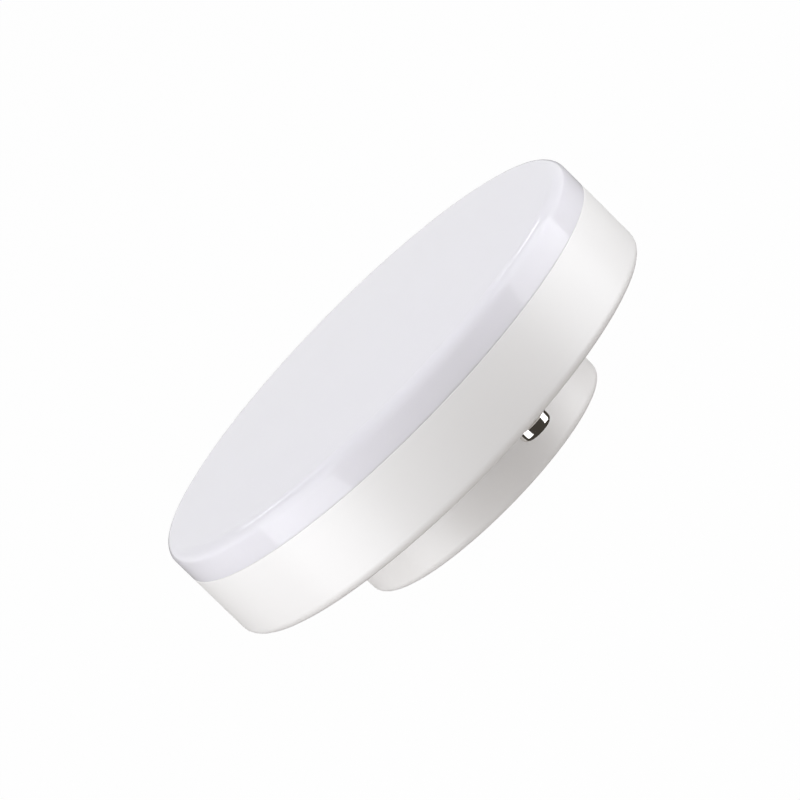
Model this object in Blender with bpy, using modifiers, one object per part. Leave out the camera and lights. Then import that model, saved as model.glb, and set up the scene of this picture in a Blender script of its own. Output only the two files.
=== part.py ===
# Disc lamp for a twist-in ceiling holder, with a light board, a driver and two contact studs.
# Metres, +Z towards the light. The lamp stands on the flat end of its boss, whose middle is the origin.

import math

import bmesh
import bpy
from mathutils import Matrix, Vector

# Overall form
BODY_DIAMETER = 0.0750
HOUSING_DEPTH = 0.0111  # from the back face to the seam
DIFFUSER_DEPTH = 0.0051  # from the seam to the front face
BOSS_DIAMETER = 0.0424  # at its flat end
BOSS_HEIGHT = 0.0090  # from the flat end to the back face
BOSS_DRAFT = 0.0002  # radius gained between the flat end and the back face

# Fits between pieces
STACK_GAP = 0.00015  # between flat faces that lie on each other
SEAM_GAP = 0.0001  # between diffuser and housing
SLIDE_GAP = 0.00015  # between round pieces that slide into each other

# Housing, moulded in one piece
HOUSING_WALL = 0.0014
BACK_WALL = 0.0014
BOSS_WALL = 0.0015
BOSS_END_WALL = 0.0015
REAR_EDGE_RADIUS = 0.0015
BOSS_EDGE_RADIUS = 0.0012
BOSS_ROOT_RADIUS = 0.0004
LIP_RADIUS = 0.0002
INNER_CORNER_RADIUS = 0.0010
GROOVE_DEPTH = 0.00045
GROOVE_WIDTH = 0.0011
GROOVE_DROP = 0.0009  # from the seam down to the groove
POST_DIAMETER = 0.0050
POST_BORE_DIAMETER = 0.0023
POST_EDGE_DISTANCE = 0.0045  # from the light board's edge to a post's axis
POST_COUNT = 3
LEDGE_DEPTH = 0.0018
LEDGE_ANGLE = math.radians(14)
LEDGE_TURN = math.radians(38)  # where the first ledge stands
NIB_DEPTH = 0.0009
NIB_HEIGHT = 0.0014
NIB_ANGLE = math.radians(9)
NIB_TURN = math.radians(73)  # where the first nib stands

# Diffuser
DIFFUSER_WALL = 0.0014
DIFFUSER_EDGE_RADIUS = 0.0012
TONGUE_THICKNESS = 0.0012
TONGUE_LENGTH = 0.0023  # from the seam down
TONGUE_RING = 0.0008  # the upper part of the tongue that has no slots
BEAD_HEIGHT = 0.00035
TAB_COUNT = 6
TAB_ANGLE = math.radians(16)

# Heat sink, a pressed cup
PLATE_THICKNESS = 0.0008
PLATE_BEND_RADIUS = 0.0014
PLATE_HOLD_GAP = 0.0003  # under the tabs of the diffuser
SKIRT_FOOT_GAP = 0.0015  # from the skirt's foot to the inside of the back
SCREW_HOLE_DIAMETER = 0.0030
WIRE_HOLE_DIAMETER = 0.0060

# Light board and its chips
LED_BOARD_THICKNESS = 0.0010
LED_BOARD_EDGE_GAP = 0.0012  # to the inside of the tabs
LED_LENGTH = 0.0035
LED_WIDTH = 0.0028
LED_HEIGHT = 0.0007
LED_WINDOW_EDGE = 0.00035
LED_WINDOW_DEPTH = 0.0001
OUTER_LED_COUNT = 12
OUTER_LED_EDGE_DISTANCE = 0.0110  # from the light board's edge
INNER_LED_COUNT = 4
INNER_LED_RADIUS = 0.0100

# Board screws
SCREW_DIAMETER = 0.0020
SCREW_BITE = 0.0038  # length inside the post
SCREW_HEAD_DIAMETER = 0.0044
SCREW_HEAD_HEIGHT = 0.0014
SCREW_TIP_ROOM = 0.0003
CROSS_WIDTH = 0.0005
CROSS_LENGTH = 0.0024
CROSS_DEPTH = 0.0008

# Contact studs with their tags
PIN_SPACING = 0.0530
PIN_HEAD_DIAMETER = 0.00505
PIN_HEAD_THICKNESS = 0.0019
PIN_HEAD_EDGE_RADIUS = 0.0006
PIN_NECK_LENGTH = 0.0017  # from the back face to the head
PIN_NECK_DIAMETER = 0.0030
PIN_SHANK_DIAMETER = 0.0024
PIN_COLLAR_DIAMETER = 0.0080
PIN_COLLAR_HEIGHT = 0.0008
RIVET_DIAMETER = 0.0038
RIVET_HEIGHT = 0.0008
TAG_THICKNESS = 0.0004
TAG_RING_DIAMETER = 0.0064
TAG_TONGUE_WIDTH = 0.0026
TAG_TONGUE_REACH = 0.0062  # from the stud's axis towards the middle

# Driver board and what it carries
BOARD_STANDOFF = 0.0019
BOARD_THICKNESS = 0.0016
BOARD_CLEARANCE = 0.0003
BOARD_FREE_EDGE = 0.0015  # no component stands nearer to the board's edge
INSULATOR_THICKNESS = 0.00025
INSULATOR_OVERLAP = 0.0010  # beyond the driver board
WIRE_DIAMETER = 0.0013
MAINS_WIRE_EDGE_DISTANCE = 0.0024
LED_WIRE_SPREAD = 0.0014
LED_WIRE_OFFSET = -0.0012
LED_WIRE_REACH = 0.0030  # along the light board
LED_WIRE_RISE = 0.0018  # above the light board

# Driver components, where a turn is the direction from the board's middle
CAPACITOR_DIAMETER = 0.0080
CAPACITOR_LENGTH = 0.0120
CAPACITOR_TURN = math.radians(-52.5)
OUTPUT_CAPACITOR_DIAMETER = 0.0063
OUTPUT_CAPACITOR_HEIGHT = 0.0080
OUTPUT_CAPACITOR_PLACE = (0.0024, 0.0066)
CAN_EDGE_RADIUS = 0.0004
CAN_GROOVE_DEPTH = 0.0004
CAN_GROOVE_HEIGHT = 0.0015  # above the can's foot
BOBBIN_SIZE = (0.0110, 0.0088, 0.0015)
CORE_SIZE = (0.0101, 0.0048, 0.0076)
CORE_LIFT = 0.0008
COIL_SIZE = (0.0066, 0.0083, 0.0055)
COIL_LIFT = 0.0020
COIL_EDGE = 0.0010
TRANSFORMER_TURN = math.radians(198)
CHOKE_DIAMETER = 0.0070
CHOKE_HEIGHT = 0.0072
CHOKE_FLANGE = 0.0012
CHOKE_WINDING_DEPTH = 0.0005
CHOKE_TURN = math.radians(152)
VARISTOR_DIAMETER = 0.0066
VARISTOR_THICKNESS = 0.0032
VARISTOR_EDGE_RADIUS = 0.0008
VARISTOR_LIFT = 0.0012
VARISTOR_LEG_SPREAD = 0.0017
VARISTOR_LEG_OFFSET = 0.0005
VARISTOR_TURN = math.radians(55.5)
FILM_SIZE = (0.0072, 0.0035, 0.0065)
FILM_EDGE = 0.0003
FILM_TURN = math.radians(117)
RESISTOR_DIAMETER = 0.0030
RESISTOR_LENGTH = 0.0062
RESISTOR_CAP_LENGTH = 0.0009
RESISTOR_WAIST_DEPTH = 0.0002
RESISTOR_EDGE_RADIUS = 0.0005
RESISTOR_TURN = math.radians(20)
LEG_DIAMETER = 0.0006
PACKAGE_LEG_REACH = 0.0008  # beyond the package's side
PACKAGE_LEG_THICKNESS = 0.00025
PACKAGE_EDGE = 0.00015
BRIDGE_SIZE = (0.0047, 0.0036, 0.0024)
BRIDGE_LEG_WIDTH = 0.0006
BRIDGE_TURN = math.radians(-11)
CHIP_SIZE = (0.0049, 0.0039, 0.0015)
CHIP_LEG_WIDTH = 0.0004
CHIP_TURN = math.radians(238)
DIODE_SIZE = (0.0026, 0.0043, 0.0021)
DIODE_LEG_WIDTH = 0.0014
DIODE_PLACE = (0.0095, 0.0)
SENSE_SIZE = (0.0032, 0.0016, 0.0006)
SENSE_CAP_LENGTH = 0.0005
SENSE_CAP_THICKNESS = 0.00004
SENSE_PLACE = (-0.0050, 0.0087)
SENSE_TURN = math.radians(29)

# Faces round a full turn, and along a quarter-round edge
BODY_STEPS = 60
INNER_STEPS = 48
PIN_STEPS = 18
SMALL_STEPS = 16
HOLE_STEPS = 12
EDGE_STEPS = 3
MERGE = 0.00001

# Heights that follow from the sizes above
back_face = BOSS_HEIGHT
seam = back_face + HOUSING_DEPTH
front_face = seam + DIFFUSER_DEPTH
back_inside = back_face + BACK_WALL
boss_floor = BOSS_END_WALL
tab_foot = seam - TONGUE_LENGTH
plate_top = tab_foot - PLATE_HOLD_GAP
plate_bottom = plate_top - PLATE_THICKNESS
post_top = plate_bottom - STACK_GAP
led_board_bottom = plate_top + STACK_GAP
led_board_top = led_board_bottom + LED_BOARD_THICKNESS
board_bottom = boss_floor + BOARD_STANDOFF
board_top = board_bottom + BOARD_THICKNESS
component_foot = board_top + STACK_GAP
insulator_top = plate_bottom - STACK_GAP
tag_bottom = back_inside + PIN_COLLAR_HEIGHT + STACK_GAP
tag_top = tag_bottom + TAG_THICKNESS

# Radii that follow from the sizes above
body_radius = BODY_DIAMETER / 2
boss_radius = BOSS_DIAMETER / 2
housing_inside = body_radius - HOUSING_WALL
tongue_outside = housing_inside - SLIDE_GAP
tongue_inside = tongue_outside - TONGUE_THICKNESS
cavity_radius = boss_radius - BOSS_WALL
board_radius = cavity_radius - BOARD_CLEARANCE
component_reach = board_radius - BOARD_FREE_EDGE
led_board_radius = tongue_inside - LED_BOARD_EDGE_GAP
post_circle = led_board_radius - POST_EDGE_DISTANCE
pin_circle = PIN_SPACING / 2

for old in list(bpy.data.objects):
    bpy.data.objects.remove(old, do_unlink=True)

lamp_parts = bpy.data.collections.new("disc_lamp")
lamp_tools = bpy.data.collections.new("disc_lamp_cutters")
bpy.context.scene.collection.children.link(lamp_parts)
bpy.context.scene.collection.children.link(lamp_tools)


def finish(name, colour, roughness, metallic=0.0):
    # One plain material of a piece.
    material = bpy.data.materials.new(name)
    material.use_nodes = True
    shader = material.node_tree.nodes["Principled BSDF"]
    shader.inputs["Base Color"].default_value = (*colour, 1.0)
    shader.inputs["Roughness"].default_value = roughness
    shader.inputs["Metallic"].default_value = metallic
    return material


white_housing = finish("white_housing", (0.88, 0.88, 0.87), 0.35)
milky_cover = finish("milky_cover", (0.80, 0.79, 0.83), 0.45)
plated_stud = finish("plated_stud", (0.78, 0.77, 0.75), 0.12, 1.0)
pressed_aluminium = finish("pressed_aluminium", (0.72, 0.73, 0.74), 0.38, 1.0)
white_mask = finish("white_mask", (0.85, 0.86, 0.85), 0.5)
green_board = finish("green_board", (0.03, 0.19, 0.07), 0.45)
led_body = finish("led_body", (0.86, 0.72, 0.22), 0.3)
zinc_screw = finish("zinc_screw", (0.62, 0.63, 0.65), 0.28, 1.0)
tinned_tag = finish("tinned_tag", (0.70, 0.70, 0.68), 0.3, 1.0)
clear_sheet = finish("clear_sheet", (0.75, 0.74, 0.66), 0.35)
red_wire = finish("red_wire", (0.55, 0.03, 0.02), 0.45)
black_wire = finish("black_wire", (0.02, 0.02, 0.022), 0.45)
white_wire = finish("white_wire", (0.82, 0.82, 0.80), 0.45)
can_sleeve = finish("can_sleeve", (0.025, 0.03, 0.06), 0.35)
ferrite = finish("ferrite", (0.04, 0.038, 0.036), 0.6)
yellow_film = finish("yellow_film", (0.75, 0.55, 0.08), 0.4)
blue_disc = finish("blue_disc", (0.03, 0.12, 0.42), 0.4)
resistor_grey = finish("resistor_grey", (0.20, 0.28, 0.30), 0.55)
black_package = finish("black_package", (0.015, 0.015, 0.016), 0.5)


def add_object(name, data, material, place=(0, 0, 0), turn=(0, 0, 0)):
    # A named piece of the lamp.
    piece = bpy.data.objects.new(name, data)
    if material is not None and not data.materials:
        data.materials.append(material)
    piece.location = place
    piece.rotation_euler = turn
    lamp_parts.objects.link(piece)
    return piece


def add_tool(name, data, owner=None):
    # A shape that only joins to or cuts a piece, in the piece's own frame.
    tool = bpy.data.objects.new(name, data)
    tool.hide_render = True
    tool.display_type = "WIRE"
    tool.parent = owner
    lamp_tools.objects.link(tool)
    return tool


def combine(piece, tool, operation):
    # Joins or cuts with an exact Boolean that stays on the piece.
    boolean = piece.modifiers.new(tool.name, "BOOLEAN")
    boolean.object = tool
    boolean.operation = operation
    boolean.solver = "EXACT"


def to_mesh(bm, name):
    # A finished mesh, its faces pointing out.
    bmesh.ops.recalc_face_normals(bm, faces=bm.faces)
    mesh = bpy.data.meshes.new(name)
    bm.to_mesh(mesh)
    bm.free()
    return mesh


def rounded(corners):
    # A profile from corners (x, z) or (x, z, radius, steps), where a radius becomes an arc.
    points = []
    for i, corner in enumerate(corners):
        here = Vector(corner[:2])
        if len(corner) == 2:
            points.append(here)
            continue
        radius, steps = corner[2:]
        before = (Vector(corners[i - 1][:2]) - here).normalized()
        after = (Vector(corners[(i + 1) % len(corners)][:2]) - here).normalized()
        half = before.angle(after) / 2
        centre = here + (before + after).normalized() * radius / math.sin(half)
        first = here + before * radius / math.tan(half) - centre
        last = here + after * radius / math.tan(half) - centre
        start = math.atan2(first.y, first.x)
        sweep = math.atan2(first.cross(last), first.dot(last))
        for k in range(steps + 1):
            angle = start + sweep * k / steps
            points.append(centre + Vector((math.cos(angle), math.sin(angle))) * radius)
    return points


def turned(name, profile, material, steps, ring=False):
    # A piece turned about Z. Its profile runs down the outer side, and a ring's profile is a loop.
    mesh = bpy.data.meshes.new(name)
    bm = bmesh.new()
    points = [bm.verts.new((x, 0, z)) for x, z in profile]
    for first, last in zip(points, points[1:] + points[:1] if ring else points[1:]):
        bm.edges.new((first, last))
    bm.to_mesh(mesh)
    bm.free()
    piece = add_object(name, mesh, material)
    screw = piece.modifiers.new("turn", "SCREW")
    screw.steps = steps
    screw.render_steps = steps
    screw.use_merge_vertices = True
    screw.merge_threshold = MERGE
    screw.use_smooth_shade = True
    return piece


def circle(radius, steps, centre=(0, 0)):
    # Points round a circle.
    return [
        (
            centre[0] + radius * math.cos(math.tau * k / steps),
            centre[1] + radius * math.sin(math.tau * k / steps),
        )
        for k in range(steps)
    ]


def flat_plate(name, outlines, bottom, thickness, material):
    # A flat sheet cut along closed outlines, the first one outside and the others as holes.
    curve = bpy.data.curves.new(name, "CURVE")
    curve.dimensions = "2D"
    curve.fill_mode = "BOTH"
    curve.extrude = thickness / 2
    for outline in outlines:
        spline = curve.splines.new("POLY")
        spline.points.add(len(outline) - 1)
        for point, (x, y) in zip(spline.points, outline):
            point.co = (x, y, 0, 1)
        spline.use_cyclic_u = True
    return add_object(name, curve, material, (0, 0, bottom + thickness / 2))


def smooth_route(points, steps):
    # A smooth curve through the points.
    knots = [Vector(point) for point in points]
    knots = [2 * knots[0] - knots[1]] + knots + [2 * knots[-1] - knots[-2]]
    route = []
    for a, b, c, d in zip(knots, knots[1:], knots[2:], knots[3:]):
        for k in range(steps):
            t = k / steps
            bend = 2 * a - 5 * b + 4 * c - d
            rest = 3 * b - a - 3 * c + d
            route.append(b + (c - a) * t / 2 + bend * t**2 / 2 + rest * t**3 / 2)
    return route + [knots[-2]]


def round_wire(name, route, diameter, material):
    # A wire of one diameter along a route.
    curve = bpy.data.curves.new(name, "CURVE")
    curve.dimensions = "3D"
    curve.bevel_depth = diameter / 2
    curve.bevel_resolution = 2
    curve.use_fill_caps = True
    spline = curve.splines.new("POLY")
    spline.points.add(len(route) - 1)
    for point, place in zip(spline.points, route):
        point.co = (*place, 1)
    return add_object(name, curve, material)


def block(bm, size, centre):
    # A box, added to a mesh being built.
    matrix = Matrix.LocRotScale(Vector(centre), None, Vector(size))
    return bmesh.ops.create_cube(bm, size=1, matrix=matrix)["verts"]


def rod(bm, radius, depth, centre, steps, turn=None):
    # A cylinder, along Z unless it is turned.
    matrix = Matrix.LocRotScale(Vector(centre), turn, Vector((1, 1, 1)))
    bmesh.ops.create_cone(
        bm, cap_ends=True, segments=steps, radius1=radius, radius2=radius, depth=depth, matrix=matrix
    )


def sector(bm, profile, middle, sweep, steps):
    # A block swept about Z from a profile (radius, z), as wide as the angle sweep.
    corners = [bm.verts.new((x, 0, z)) for x, z in profile]
    face = bm.faces.new(corners)
    turn = Matrix.Rotation(middle - sweep / 2, 3, "Z")
    bmesh.ops.rotate(bm, verts=corners, cent=(0, 0, 0), matrix=turn)
    geom = [face, *face.edges, *face.verts]
    bmesh.ops.spin(bm, geom=geom, angle=sweep, steps=steps, axis=(0, 0, 1), cent=(0, 0, 0))


def soften(bm, width):
    # A small chamfer on every edge so far.
    bmesh.ops.bevel(bm, geom=bm.edges[:], offset=width, segments=1, affect="EDGES", profile=0.5)


def around(count, first=0.0):
    # Evenly spread angles.
    return [first + math.tau * k / count for k in range(count)]


def polar(radius, angle, height):
    # A point at a radius and an angle.
    return Vector((radius * math.cos(angle), radius * math.sin(angle), height))


def make_housing():
    # The drum with its boss, turned in one profile, then posts, collars, ledges and nibs joined on.
    boss_root = boss_radius + BOSS_DRAFT
    cavity_mouth = cavity_radius + BOSS_DRAFT
    groove_top = seam - GROOVE_DROP
    groove_foot = groove_top - GROOVE_WIDTH
    groove_radius = housing_inside + GROOVE_DEPTH
    profile = rounded(
        [
            (0, boss_floor),
            (cavity_radius, boss_floor),
            (cavity_mouth, back_inside),
            (housing_inside, back_inside, INNER_CORNER_RADIUS, 1),
            (housing_inside, groove_foot - GROOVE_DEPTH),
            (groove_radius, groove_foot),
            (groove_radius, groove_top),
            (housing_inside, groove_top),
            (housing_inside, seam),
            (body_radius, seam, LIP_RADIUS, 1),
            (body_radius, back_face, REAR_EDGE_RADIUS, EDGE_STEPS),
            (boss_root, back_face, BOSS_ROOT_RADIUS, 1),
            (boss_radius, 0, BOSS_EDGE_RADIUS, EDGE_STEPS),
            (0, 0),
        ]
    )
    housing = turned("housing", profile, white_housing, BODY_STEPS)

    added = bmesh.new()
    root = BACK_WALL / 2
    for angle in around(POST_COUNT):
        height = post_top - back_inside + root
        rod(added, POST_DIAMETER / 2, height, polar(post_circle, angle, post_top - height / 2), SMALL_STEPS)
    for side in (-1, 1):
        height = PIN_COLLAR_HEIGHT + root
        centre = (0, side * pin_circle, back_inside + PIN_COLLAR_HEIGHT - height / 2)
        rod(added, PIN_COLLAR_DIAMETER / 2, height, centre, SMALL_STEPS)
    wall_middle = cavity_radius + BOSS_WALL / 2
    ledge_top = board_bottom - STACK_GAP
    ledge_foot = boss_floor - BOSS_END_WALL / 2
    ledge_edge = cavity_radius - LEDGE_DEPTH
    ledge = [
        (ledge_edge, ledge_foot),
        (wall_middle, ledge_foot),
        (wall_middle, ledge_top),
        (ledge_edge, ledge_top),
    ]
    nib_foot = board_top + STACK_GAP
    nib_edge = cavity_radius - NIB_DEPTH
    nib = [
        (nib_edge, nib_foot),
        (wall_middle, nib_foot),
        (wall_middle, nib_foot + NIB_HEIGHT),
        (nib_edge, nib_foot + NIB_HEIGHT / 4),
    ]
    for angle in around(POST_COUNT):
        sector(added, ledge, LEDGE_TURN + angle, LEDGE_ANGLE, 2)
        sector(added, nib, NIB_TURN + angle, NIB_ANGLE, 2)
    combine(housing, add_tool("housing_added", to_mesh(added, "housing_added")), "UNION")

    holes = bmesh.new()
    bore_depth = SCREW_BITE + SCREW_TIP_ROOM
    for angle in around(POST_COUNT):
        centre = polar(post_circle, angle, post_top)
        rod(holes, POST_BORE_DIAMETER / 2, bore_depth * 2, centre, HOLE_STEPS)
    for side in (-1, 1):
        radius = PIN_SHANK_DIAMETER / 2 + SLIDE_GAP
        centre = (0, side * pin_circle, back_face + BACK_WALL / 2)
        rod(holes, radius, 4 * (BACK_WALL + PIN_COLLAR_HEIGHT), centre, HOLE_STEPS)
    combine(housing, add_tool("housing_holes", to_mesh(holes, "housing_holes")), "DIFFERENCE")


def make_diffuser():
    # The milky cover, with a tongue that is slotted into snap tabs.
    inside = body_radius - DIFFUSER_WALL
    foot = seam + SEAM_GAP
    ceiling = front_face - DIFFUSER_WALL
    bead_top = seam - GROOVE_DROP - STACK_GAP
    bead_radius = tongue_outside + BEAD_HEIGHT
    bead_foot = bead_top - GROOVE_WIDTH / 4
    shoulder = foot + TONGUE_THICKNESS / 2
    profile = rounded(
        [
            (0, front_face),
            (body_radius, front_face, DIFFUSER_EDGE_RADIUS, EDGE_STEPS),
            (body_radius, foot, LIP_RADIUS, 1),
            (tongue_outside, foot),
            (tongue_outside, bead_top),
            (bead_radius, bead_top),
            (bead_radius, bead_foot),
            (tongue_outside, bead_foot - BEAD_HEIGHT),
            (tongue_outside, tab_foot),
            (tongue_inside, tab_foot),
            (tongue_inside, shoulder),
            (inside, shoulder + inside - tongue_inside),
            (inside, ceiling, DIFFUSER_EDGE_RADIUS / 2, 1),
            (0, ceiling),
        ]
    )
    diffuser = turned("diffuser", profile, milky_cover, BODY_STEPS)
    slot_top = seam - TONGUE_RING
    slot = [
        (tongue_inside - TONGUE_THICKNESS, tab_foot - TONGUE_LENGTH),
        (bead_radius + TONGUE_THICKNESS, tab_foot - TONGUE_LENGTH),
        (bead_radius + TONGUE_THICKNESS, slot_top),
        (tongue_inside - TONGUE_THICKNESS, slot_top),
    ]
    slots = bmesh.new()
    for angle in around(TAB_COUNT, math.pi / TAB_COUNT):
        sector(slots, slot, angle, math.tau / TAB_COUNT - TAB_ANGLE, 4)
    combine(diffuser, add_tool("diffuser_slots", to_mesh(slots, "diffuser_slots")), "DIFFERENCE")


def make_heat_sink():
    # The pressed cup: a plate on the posts and a skirt along the housing wall.
    outside = housing_inside - SLIDE_GAP
    inside = outside - PLATE_THICKNESS
    foot = back_inside + SKIRT_FOOT_GAP
    bend_inside = PLATE_BEND_RADIUS - PLATE_THICKNESS
    profile = rounded(
        [
            (WIRE_HOLE_DIAMETER / 2, plate_top),
            (outside, plate_top, PLATE_BEND_RADIUS, 2),
            (outside, foot),
            (inside, foot),
            (inside, plate_bottom, bend_inside, 1),
            (WIRE_HOLE_DIAMETER / 2, plate_bottom),
        ]
    )
    heat_sink = turned("heat_sink", profile, pressed_aluminium, INNER_STEPS, ring=True)
    holes = bmesh.new()
    for angle in around(POST_COUNT):
        centre = polar(post_circle, angle, plate_top)
        rod(holes, SCREW_HOLE_DIAMETER / 2, PLATE_THICKNESS * 4, centre, HOLE_STEPS)
    combine(heat_sink, add_tool("heat_sink_holes", to_mesh(holes, "heat_sink_holes")), "DIFFERENCE")


def make_led_board():
    # The round light board with its screw holes and wire hole.
    holes = [
        circle(SCREW_HOLE_DIAMETER / 2, HOLE_STEPS, polar(post_circle, angle, 0))
        for angle in around(POST_COUNT)
    ]
    wire_hole = circle(WIRE_HOLE_DIAMETER / 2, SMALL_STEPS)
    outlines = [circle(led_board_radius, INNER_STEPS), wire_hole, *holes]
    flat_plate("led_board", outlines, led_board_bottom, LED_BOARD_THICKNESS, white_mask)


def make_leds():
    # One chip with its sunk window, repeated in two rings.
    bm = bmesh.new()
    block(bm, (LED_LENGTH, LED_WIDTH, LED_HEIGHT), (0, 0, LED_HEIGHT / 2))
    window = max(bm.faces, key=lambda face: face.calc_center_median().z)
    bmesh.ops.inset_individual(bm, faces=[window], thickness=LED_WINDOW_EDGE)
    bmesh.ops.translate(bm, verts=window.verts, vec=(0, 0, -LED_WINDOW_DEPTH))
    mesh = to_mesh(bm, "led")
    outer_circle = led_board_radius - OUTER_LED_EDGE_DISTANCE
    half_step = math.pi / OUTER_LED_COUNT
    rings = [(outer_circle, angle) for angle in around(OUTER_LED_COUNT, half_step)]
    rings += [(INNER_LED_RADIUS, angle) for angle in around(INNER_LED_COUNT, math.pi / 4)]
    for number, (radius, angle) in enumerate(rings, 1):
        place = polar(radius, angle, led_board_top + STACK_GAP)
        add_object(f"led_{number:02d}", mesh, led_body, place, (0, 0, angle - math.pi / 2))


def make_screws():
    # Pan-head screws with a cross recess, through light board and cup into the posts.
    under_head = led_board_top + STACK_GAP
    tip = post_top - SCREW_BITE
    shank = SCREW_DIAMETER / 2
    head = SCREW_HEAD_DIAMETER / 2
    length = under_head - tip
    profile = rounded(
        [
            (0, SCREW_HEAD_HEIGHT),
            (head, SCREW_HEAD_HEIGHT, SCREW_HEAD_HEIGHT / 2, 2),
            (head, 0),
            (shank, 0),
            (shank, shank / 2 - length),
            (shank / 3, -length),
            (0, -length),
        ]
    )
    pattern = turned("board_screw_pattern", profile, zinc_screw, SMALL_STEPS)
    recess = bmesh.new()
    block(recess, (CROSS_LENGTH, CROSS_WIDTH, CROSS_DEPTH * 2), (0, 0, SCREW_HEAD_HEIGHT))
    across = bmesh.new()
    block(across, (CROSS_WIDTH, CROSS_LENGTH, CROSS_DEPTH * 2), (0, 0, SCREW_HEAD_HEIGHT))
    combine(pattern, add_tool("cross_one", to_mesh(recess, "cross_one")), "DIFFERENCE")
    combine(pattern, add_tool("cross_two", to_mesh(across, "cross_two")), "DIFFERENCE")
    mesh = baked(pattern)
    for number, angle in enumerate(around(POST_COUNT), 1):
        place = polar(post_circle, angle, under_head)
        add_object(f"board_screw_{number}", mesh, zinc_screw, place, (0, 0, angle))


def baked(piece):
    # The mesh of a piece with its modifiers in it. The piece itself is taken away.
    graph = bpy.context.evaluated_depsgraph_get()
    mesh = bpy.data.meshes.new_from_object(piece.evaluated_get(graph))
    mesh.name = piece.name
    bpy.data.objects.remove(piece, do_unlink=True)
    return mesh


def make_pins():
    # Turned studs: a flat head, a neck against the back face and a shank riveted over the tag.
    head = PIN_HEAD_DIAMETER / 2
    neck = PIN_NECK_DIAMETER / 2
    shank = PIN_SHANK_DIAMETER / 2
    rivet = RIVET_DIAMETER / 2
    head_top = back_face - PIN_NECK_LENGTH
    head_end = head_top - PIN_HEAD_THICKNESS
    neck_top = back_face - STACK_GAP
    rivet_foot = tag_top + STACK_GAP
    profile = rounded(
        [
            (0, rivet_foot + RIVET_HEIGHT),
            (rivet, rivet_foot + RIVET_HEIGHT, RIVET_HEIGHT / 2, 1),
            (rivet, rivet_foot),
            (shank, rivet_foot),
            (shank, neck_top),
            (neck, neck_top),
            (neck, head_top),
            (head, head_top, PIN_HEAD_EDGE_RADIUS / 2, 1),
            (head, head_end, PIN_HEAD_EDGE_RADIUS, 2),
            (0, head_end),
        ]
    )
    mesh = baked(turned("contact_pin", profile, plated_stud, PIN_STEPS))
    for number, side in enumerate((-1, 1), 1):
        add_object(f"contact_pin_{number}", mesh, plated_stud, (0, side * pin_circle, 0))


def make_tags():
    # A ring under the rivet, with a tongue towards the middle for the wire.
    ring = TAG_RING_DIAMETER / 2
    half = TAG_TONGUE_WIDTH / 2
    leave = math.asin(half / ring)
    sweep = math.tau - 2 * leave
    outline = [(half, TAG_TONGUE_REACH), (-half, TAG_TONGUE_REACH)]
    for k in range(SMALL_STEPS):
        angle = math.pi / 2 + leave + sweep * k / (SMALL_STEPS - 1)
        outline.append((ring * math.cos(angle), ring * math.sin(angle)))
    hole = circle(PIN_SHANK_DIAMETER / 2 + SLIDE_GAP, HOLE_STEPS)
    for number, side in enumerate((-1, 1), 1):
        tag = flat_plate(f"pin_tag_{number}", [outline, hole], tag_bottom, TAG_THICKNESS, tinned_tag)
        tag.location.y = side * pin_circle
        tag.rotation_euler.z = 0 if side < 0 else math.pi


def make_insulator():
    # The thin sheet under the cup that keeps the driver away from the metal.
    outlines = [
        circle(board_radius + INSULATOR_OVERLAP, INNER_STEPS),
        circle(WIRE_HOLE_DIAMETER / 2, SMALL_STEPS),
    ]
    bottom = insulator_top - INSULATOR_THICKNESS
    flat_plate("insulating_disc", outlines, bottom, INSULATOR_THICKNESS, clear_sheet)


def make_driver_board():
    # The round board on its ledges.
    outline = circle(board_radius, INNER_STEPS)
    flat_plate("driver_board", [outline], board_bottom, BOARD_THICKNESS, green_board)


def edge_place(angle, length, depth):
    # Where a component of this length and radial depth stands, its outer corners at the free edge.
    reach = math.sqrt(component_reach**2 - (length / 2) ** 2) - depth / 2
    return polar(reach, angle, component_foot)


def facing(angle):
    # A turn that points a component's own +Y outwards.
    return angle - math.pi / 2


def make_capacitor(name, diameter, length, place, turn):
    # A sleeved can with a rolled groove near its foot.
    radius = diameter / 2
    groove_top = CAN_GROOVE_HEIGHT + CAN_GROOVE_DEPTH
    groove_foot = CAN_GROOVE_HEIGHT - CAN_GROOVE_DEPTH
    profile = rounded(
        [
            (0, length),
            (radius, length, CAN_EDGE_RADIUS, 1),
            (radius, groove_top),
            (radius - CAN_GROOVE_DEPTH, CAN_GROOVE_HEIGHT),
            (radius, groove_foot),
            (radius, 0, CAN_EDGE_RADIUS, 1),
            (0, 0),
        ]
    )
    can = turned(name, profile, can_sleeve, SMALL_STEPS)
    can.location = place
    can.rotation_euler = turn


def make_capacitors():
    # The lying input capacitor and the standing output capacitor.
    place = edge_place(CAPACITOR_TURN, CAPACITOR_LENGTH, CAPACITOR_DIAMETER)
    place.z += CAPACITOR_DIAMETER / 2
    along = Vector((-math.sin(CAPACITOR_TURN), math.cos(CAPACITOR_TURN), 0))
    place += along * CAPACITOR_LENGTH / 2
    turn = (0, math.pi / 2, facing(CAPACITOR_TURN))
    make_capacitor("input_capacitor", CAPACITOR_DIAMETER, CAPACITOR_LENGTH, place, turn)
    standing = (*OUTPUT_CAPACITOR_PLACE, component_foot)
    size = (OUTPUT_CAPACITOR_DIAMETER, OUTPUT_CAPACITOR_HEIGHT)
    make_capacitor("output_capacitor", *size, standing, (0, 0, 0))


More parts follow.
